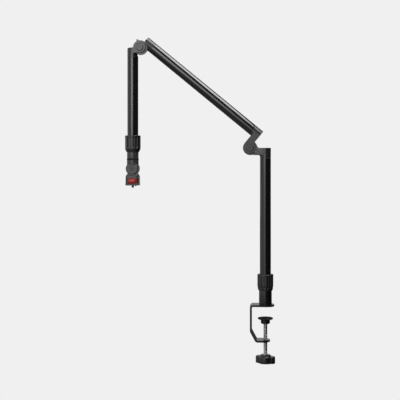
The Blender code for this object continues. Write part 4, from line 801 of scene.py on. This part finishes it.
stud = {"radius": 3.175, "depth": 0.55, "pitch": 1.27, "below": -6.1, "threadTop": -0.1, "root": 2.9,
        "rootLow": -0.2, "seat": 6.0}
studThread = threadSurface(stud["radius"], stud["depth"], stud["pitch"], stud["below"],
                           stud["threadTop"], 36, 10)
studRoot = rod(stud["root"], stud["rootLow"], stud["seat"], 36)
studPart = moved(joined(studThread, studRoot), (dropX, 0, housingBottom))
addPiece("mountStud", studPart, "tilt_head", oxideFinish, ["mount_stud"])
pin = {"radius": 1.5, "tip": 0.8, "low": -2.2, "top": 2, "round": 0.5, "aside": 7.6}
pinLine = rounded([
    (pin["tip"], pin["low"]), (pin["radius"], pin["low"], pin["round"]), (pin["radius"], pin["top"])])
pinPart = moved(turnedSurface(pinLine, 32), (dropX + pin["aside"], 0, housingBottom))
addPiece("indexPin", pinPart, "tilt_head", oxideFinish, ["index_pin"])

# The latch spring: wire is its radius, and start and end are points on its axis just past both ends of the
# coil, passed along with the two body names, though the spring rides on neither body.
spring = {"mean": 1.8, "wire": 0.4, "low": 10.7, "high": 15.0, "turns": 4.5, "z": springHole["z"],
          "start": 9.8, "end": 15.9}


def coilSurface(mean, wire, low, high, turns, around=24, sides=10):
    # the wire's circle carried along a helix, with a flat face on both ends
    count = int(turns * around)
    share = np.arange(count + 1)[:, None] / count
    k = 2 * np.pi * np.arange(sides) / sides
    reach = mean + wire * np.cos(k)
    a = 2 * np.pi * turns * share
    height = low + (high - low) * share + wire * np.sin(k)
    return ringGrid(np.stack([np.cos(a) * reach, np.sin(a) * reach, height], -1))


springPart = coilSurface(spring["mean"], spring["wire"], spring["low"], spring["high"], spring["turns"])
springEnds = [tuple(np.array([dropX, spring[key], spring["z"]]) * mm) for key in ("start", "end")]
springPart = alongDepth(springPart, dropX, spring["z"])
addPiece("latchSpring", springPart, ("button", "tilt_head", *springEnds), zincFinish,
         ["latch_spring"], 60)
print("quick release made")


# Pressure pad, its rubber liner, and the screw.
pad = {"top": -31.8, "radius": 20.0, "rim": -33.0, "hubTop": -36.6, "hub": 11.75, "hubEnd": -44.3,
       "coneEnd": -46.3, "cone": 7.75, "bore": 3.5, "sink": 5.9, "floor": -33.8}
padLine = rounded([
    (pad["sink"], pad["top"]), (pad["radius"], pad["top"], 0.6), (pad["radius"], pad["rim"], 0.4),
    (pad["hub"], pad["hubTop"], 0.6), (pad["hub"], pad["hubEnd"], 0.6), (pad["cone"], pad["coneEnd"], 0.4),
    (pad["bore"], pad["coneEnd"]), (pad["bore"], pad["floor"]), (pad["sink"], pad["floor"])])
padPart = turnedSurface(padLine, 96, hollow=True)
addPiece("pressurePad", padPart, "pad", stripFinish, ["pressure_pad"])
liner = {"radius": 19.2, "low": -31.5, "top": -30.2, "cap": 1}
linerLine = rounded([
    (liner["cap"], liner["low"]), (liner["radius"], liner["low"], 0.3), (liner["radius"], liner["top"], 0.5),
    (liner["cap"], liner["top"])])
addPiece("padLiner", turnedSurface(linerLine, 96), "pad", rubberFinish, ["pad_liner"])

screw = {"radius": 5.0, "depth": 0.7, "pitch": 1.5, "low": -139.5, "shoulder": -46.6, "pin": 3.2,
         "pinSunk": 0.5, "rivet": 5.6, "rivetLow": -33.5, "rivetTop": -32.1, "rivetFlat": 2, "flats": 16.0,
         "headLow": -145.1, "headTop": -139.0}
screwThread = threadSurface(screw["radius"], screw["depth"], screw["pitch"], screw["low"],
                            screw["shoulder"], 40, 10)
rivet = turnedSurface(rounded([
    (screw["pin"], screw["shoulder"] - screw["pinSunk"]), (screw["pin"], screw["rivetLow"]),
    (screw["rivet"], screw["rivetLow"]), (screw["rivet"], screw["rivetTop"], 0.6),
    (screw["rivetFlat"], screw["rivetTop"])]), 48)
hexHead = plateSurface(hexOutline(screw["flats"]), screw["headLow"], screw["headTop"], 0.4)
addPiece("clampScrew", joined(screwThread, rivet, hexHead), "screw", zincFinish, ["clamp_screw"])

knob = {"body": 19.0, "wingAt": 17.0, "wing": 9.0, "turn": -18.0, "blend": 1.2, "top": -129.5,
        "bottom": -147.5, "edge": 2.4, "lowEdge": 1.4, "hub": 13.3, "hubTop": -126.0, "hubEdge": 0.7,
        "hubFoot": 0.5, "around": 180, "pocket": -138.7, "pocketEdge": 0.3, "flats": 16.6, "bore": 5.3}


def knobSurface():
    # plan: a smooth maximum of a round body and two round wings; both rims are rounded by quarter circles;
    # a raised hub on top is bored down to the hexagonal pocket in the underside, for the screw's head
    a = np.linspace(0, 2 * np.pi, knob["around"], endpoint=False)
    reach = [np.full_like(a, knob["body"])]
    for wing in (0, np.pi):
        side = knob["wingAt"] * np.sin(a - wing)
        hit = (np.abs(side) < knob["wing"]) & (np.cos(a - wing) > 0)
        far = knob["wingAt"] * np.cos(a - wing) + np.sqrt(np.clip(knob["wing"] ** 2 - side**2, 0, None))
        reach.append(np.where(hit, far, 0))
    peak = np.max(reach, axis=0)
    plan = peak + knob["blend"] * np.log(sum(np.exp((r - peak) / knob["blend"]) for r in reach))
    pocket = hexRadius(a, knob["flats"])
    t = np.linspace(0, np.pi / 2, 6)
    e, top, bottom, hubTop = knob["edge"], knob["top"], knob["bottom"], knob["hubTop"]
    lowEdge, hubEdge, lip = knob["lowEdge"], knob["hubEdge"], knob["pocketEdge"]
    rings = [(pocket, knob["pocket"]), (pocket, bottom + lip), (pocket + lip, bottom)]
    innerRings = len(rings)
    rings += [(plan - lowEdge * (1 - np.sin(k)), bottom + lowEdge * (1 - np.cos(k))) for k in t]
    rings += [(plan - e * (1 - np.cos(k)), top - e * (1 - np.sin(k))) for k in t]
    hub = knob["hub"] * np.ones_like(a)
    rings += [(hub + knob["hubFoot"], top), (hub, top + knob["hubFoot"]), (hub, hubTop - hubEdge)]
    rings += [(hub - hubEdge * (1 - np.cos(k)), hubTop - hubEdge * (1 - np.sin(k))) for k in t[1:]]
    bore = knob["bore"] * np.ones_like(a)
    rings += [(bore, hubTop), (bore, knob["pocket"])]
    turn = math.radians(knob["turn"])
    points = []
    for i, (r, h) in enumerate(rings):
        angle = a + (0 if i < innerRings else turn)
        points.append(np.stack([r * np.cos(angle), r * np.sin(angle), h + 0 * a], -1))
    return ringGrid(np.stack(points), closeRows=True)


addPiece("clampKnob", knobSurface(), "screw", absFinish, ["clamp_knob"], 40)
cap = {"flats": 16.0, "low": -147.1, "top": -145.3, "edge": 0.3}
knobCap = plateSurface(hexOutline(cap["flats"]), cap["low"], cap["top"], cap["edge"])
addPiece("knobCap", knobCap, "screw", absFinish, ["knob_cap"])
print("pad, screw and knob made")


# Studio, in metres: a pale backdrop, a pale floor out of the camera's frame, soft lamps, a black flag to
# the right and one behind the camera, and grey flags before the backdrop.
studio = {"backdrop": "#f0f0f0", "floor": "#b0b0b0", "floorZ": -1.2, "floorHalf": 6, "backdropY": 3.2,
          "backdropHalf": 5, "backdropTop": 4, "flagY": 1.7, "roomLight": 0.22}
flags = {"left": 0.02, "right": 0.85, "front": -3.2, "top": 3, "farLeft": -3, "gap": 0.12, "lowTop": 0.12,
         "highLeft": -0.35, "highLow": 0.45, "highTop": 1.6}


def paleFinish(name, plainColour, seenColour, cameraShare, mirrorShare):
    # camera rays see the pale colour glow by cameraShare, and glossy and transmission rays by mirrorShare;
    # what is left of each, and all of the others, is a plain diffuse that takes shadows
    made, tree, out = newMaterial(name)
    path = addNode(tree, "ShaderNodeLightPath")
    mirrored = addNode(tree, "ShaderNodeMath", {"operation": "MAXIMUM"}, {
        0: (path, "Is Glossy Ray"), 1: (path, "Is Transmission Ray")})
    mirrorGlow = addNode(tree, "ShaderNodeMath", {"operation": "MULTIPLY", 1: mirrorShare}, {
        0: (mirrored, "Value")})
    cameraGlow = addNode(tree, "ShaderNodeMath", {"operation": "MULTIPLY", 1: cameraShare}, {
        0: (path, "Is Camera Ray")})
    share = addNode(tree, "ShaderNodeMath", {"operation": "MAXIMUM"}, {
        0: (mirrorGlow, "Value"), 1: (cameraGlow, "Value")})
    plain = addNode(tree, "ShaderNodeBsdfDiffuse", {"Color": colour(plainColour)})
    glow = addNode(tree, "ShaderNodeEmission", {"Color": colour(seenColour), "Strength": 1.0})
    mix = addNode(tree, "ShaderNodeMixShader", {}, {
        0: (share, "Value"), 1: (plain, "BSDF"), 2: (glow, "Emission")})
    tree.links.new(mix.outputs["Shader"], out.inputs["Surface"])
    return made


def clothFinish(name, code):
    made, tree, out = newMaterial(name)
    cloth = addNode(tree, "ShaderNodeBsdfDiffuse", {"Color": colour(code)})
    tree.links.new(cloth.outputs["BSDF"], out.inputs["Surface"])
    return made


def stagePlane(name, corners, finish, seen=True):
    mesh = bpy.data.meshes.new(name)
    mesh.from_pydata(corners, [], [(0, 1, 2, 3)])
    mesh.materials.append(finish)
    plane = bpy.data.objects.new(name, mesh)
    plane.visible_camera = seen
    bpy.context.scene.collection.objects.link(plane)
    plane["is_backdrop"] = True
    return plane


def backFlag(name, left, right, bottom, top):
    # stands before the backdrop and shows in reflections only
    y = studio["flagY"]
    corners = [(left, y, bottom), (right, y, bottom), (right, y, top), (left, y, top)]
    flag = stagePlane(name, corners, backFlagFinish, False)
    flag.visible_diffuse = False
    flag.visible_transmission = False
    flag.visible_shadow = False


floorZ, floorHalf = studio["floorZ"], studio["floorHalf"]
floorFinish = paleFinish("paleFloorPaper", studio["floor"], studio["backdrop"], 0.8, 0.2)
stagePlane("floor", [(x * floorHalf, y * floorHalf, floorZ) for x, y in ((-1, -1), (1, -1), (1, 1), (-1, 1))],
           floorFinish)
backX, backY, backTop = studio["backdropHalf"], studio["backdropY"], studio["backdropTop"]
backdropFinish = paleFinish("paleBackdropPaper", studio["backdrop"], studio["backdrop"], 1.0, 1.0)
stagePlane("backdrop", [(-backX, backY, floorZ), (backX, backY, floorZ), (backX, backY, backTop),
                        (-backX, backY, backTop)], backdropFinish)
flagFinish = clothFinish("blackFlagCloth", "#000000")
backFlagFinish = clothFinish("greyFlagCloth", "#909090")
right, front, top = flags["right"], flags["front"], flags["top"]
back = studio["flagY"]
stagePlane("rightFlag", [(right, front, floorZ), (right, back, floorZ), (right, back, top),
                         (right, front, top)], flagFinish, False)
stagePlane("frontFlag", [(flags["left"], front, floorZ), (right, front, floorZ), (right, front, top),
                         (flags["left"], front, top)], flagFinish, False)
# The gap between the two low ones, from -gap to gap, lets the clamp's plate mirror the backdrop.
backFlag("lowLeftBackFlag", flags["farLeft"], -flags["gap"], floorZ, flags["lowTop"])
backFlag("lowRightBackFlag", flags["gap"], right, floorZ, flags["lowTop"])
backFlag("highBackFlag", flags["highLeft"], right, flags["highLow"], flags["highTop"])

world = bpy.data.worlds.new("paleStudioRoom")
bpy.context.scene.world = world
world.use_nodes = True
tree = world.node_tree
tree.nodes.clear()
path = addNode(tree, "ShaderNodeLightPath")
some = addNode(tree, "ShaderNodeMath", {"operation": "MAXIMUM"}, {
    0: (path, "Is Camera Ray"), 1: (path, "Is Glossy Ray")})
seen = addNode(tree, "ShaderNodeMath", {"operation": "MAXIMUM"}, {
    0: (some, "Value"), 1: (path, "Is Transmission Ray")})
plain = addNode(tree, "ShaderNodeBackground", {"Color": colour(studio["backdrop"]), "Strength": 1.0})
room = addNode(tree, "ShaderNodeBackground", {"Color": (1, 1, 1, 1), "Strength": studio["roomLight"]})
mix = addNode(tree, "ShaderNodeMixShader", {}, {
    0: (seen, "Value"), 1: (room, "Background"), 2: (plain, "Background")})
addNode(tree, "ShaderNodeOutputWorld", {}, {"Surface": (mix, "Shader")})

# A tall soft wall to the left of the camera, brightest at the top: (low, high, brightness) for each strip.
keyWall = {"left": -1.85, "right": 0.0, "y": -2.6, "strips": [
    (-0.45, 0.05, 0.35), (0.05, 0.32, 0.8), (0.32, 0.60, 1.8), (0.60, 1.55, 4.6)]}
# A softbox above, behind and to the right of the object, square to the slanted arm.
overhead = {"place": (0.635, -0.177, 1.77), "target": (-0.165, 0, 0.564), "along": 0.82, "deep": 1.12,
            "bright": 12.0}


def softBox(name, place, aim, width, height, bright):
    # power = brightness * pi * area, so that bright 1 is as bright as a white sheet in full light
    light = bpy.data.lights.new(name, "AREA")
    light.shape = "RECTANGLE"
    light.size, light.size_y, light.energy = width, height, bright * math.pi * width * height
    lamp = bpy.data.objects.new(name, light)
    bpy.context.scene.collection.objects.link(lamp)
    lamp.location = place
    lamp.rotation_euler = vectorAngles(np.array(aim, float))
    lamp.visible_camera = False


def vectorAngles(aim):
    # turns the lamp's -Z axis to the aim, keeping its width level
    flat = math.hypot(aim[0], aim[1])
    return math.atan2(flat, -aim[2]), 0, math.atan2(aim[0], -aim[1]) + math.pi


for low, high, bright in keyWall["strips"]:
    place = ((keyWall["left"] + keyWall["right"]) / 2, keyWall["y"], (low + high) / 2)
    softBox("keyWall", place, (0, 1, 0), keyWall["right"] - keyWall["left"], high - low, bright)
overheadAim = np.array(overhead["target"]) - np.array(overhead["place"])
softBox("overheadSoftBox", overhead["place"], overheadAim, overhead["deep"], overhead["along"],
        overhead["bright"])
print("studio made")

# The camera is level, a little above the middle, and turned to a point in the plane of the arms.
photoView = {"sensor": 36, "lens": 81, "shift": -0.1, "place": (-0.007, -2.34, 0.3786), "aimX": -0.170}
cameraData = bpy.data.cameras.new("photoCamera")
cameraData.sensor_width = photoView["sensor"]
cameraData.lens = photoView["lens"]
cameraData.shift_y = photoView["shift"]
camera = bpy.data.objects.new("photoCamera", cameraData)
bpy.context.scene.collection.objects.link(camera)
camera.location = photoView["place"]
cameraTurn = math.atan2(camera.location.x - photoView["aimX"], -camera.location.y)
camera.rotation_euler = (math.pi / 2, 0, cameraTurn)
bpy.context.scene.camera = camera
bpy.context.scene.view_settings.view_transform = "Standard"

low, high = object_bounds()
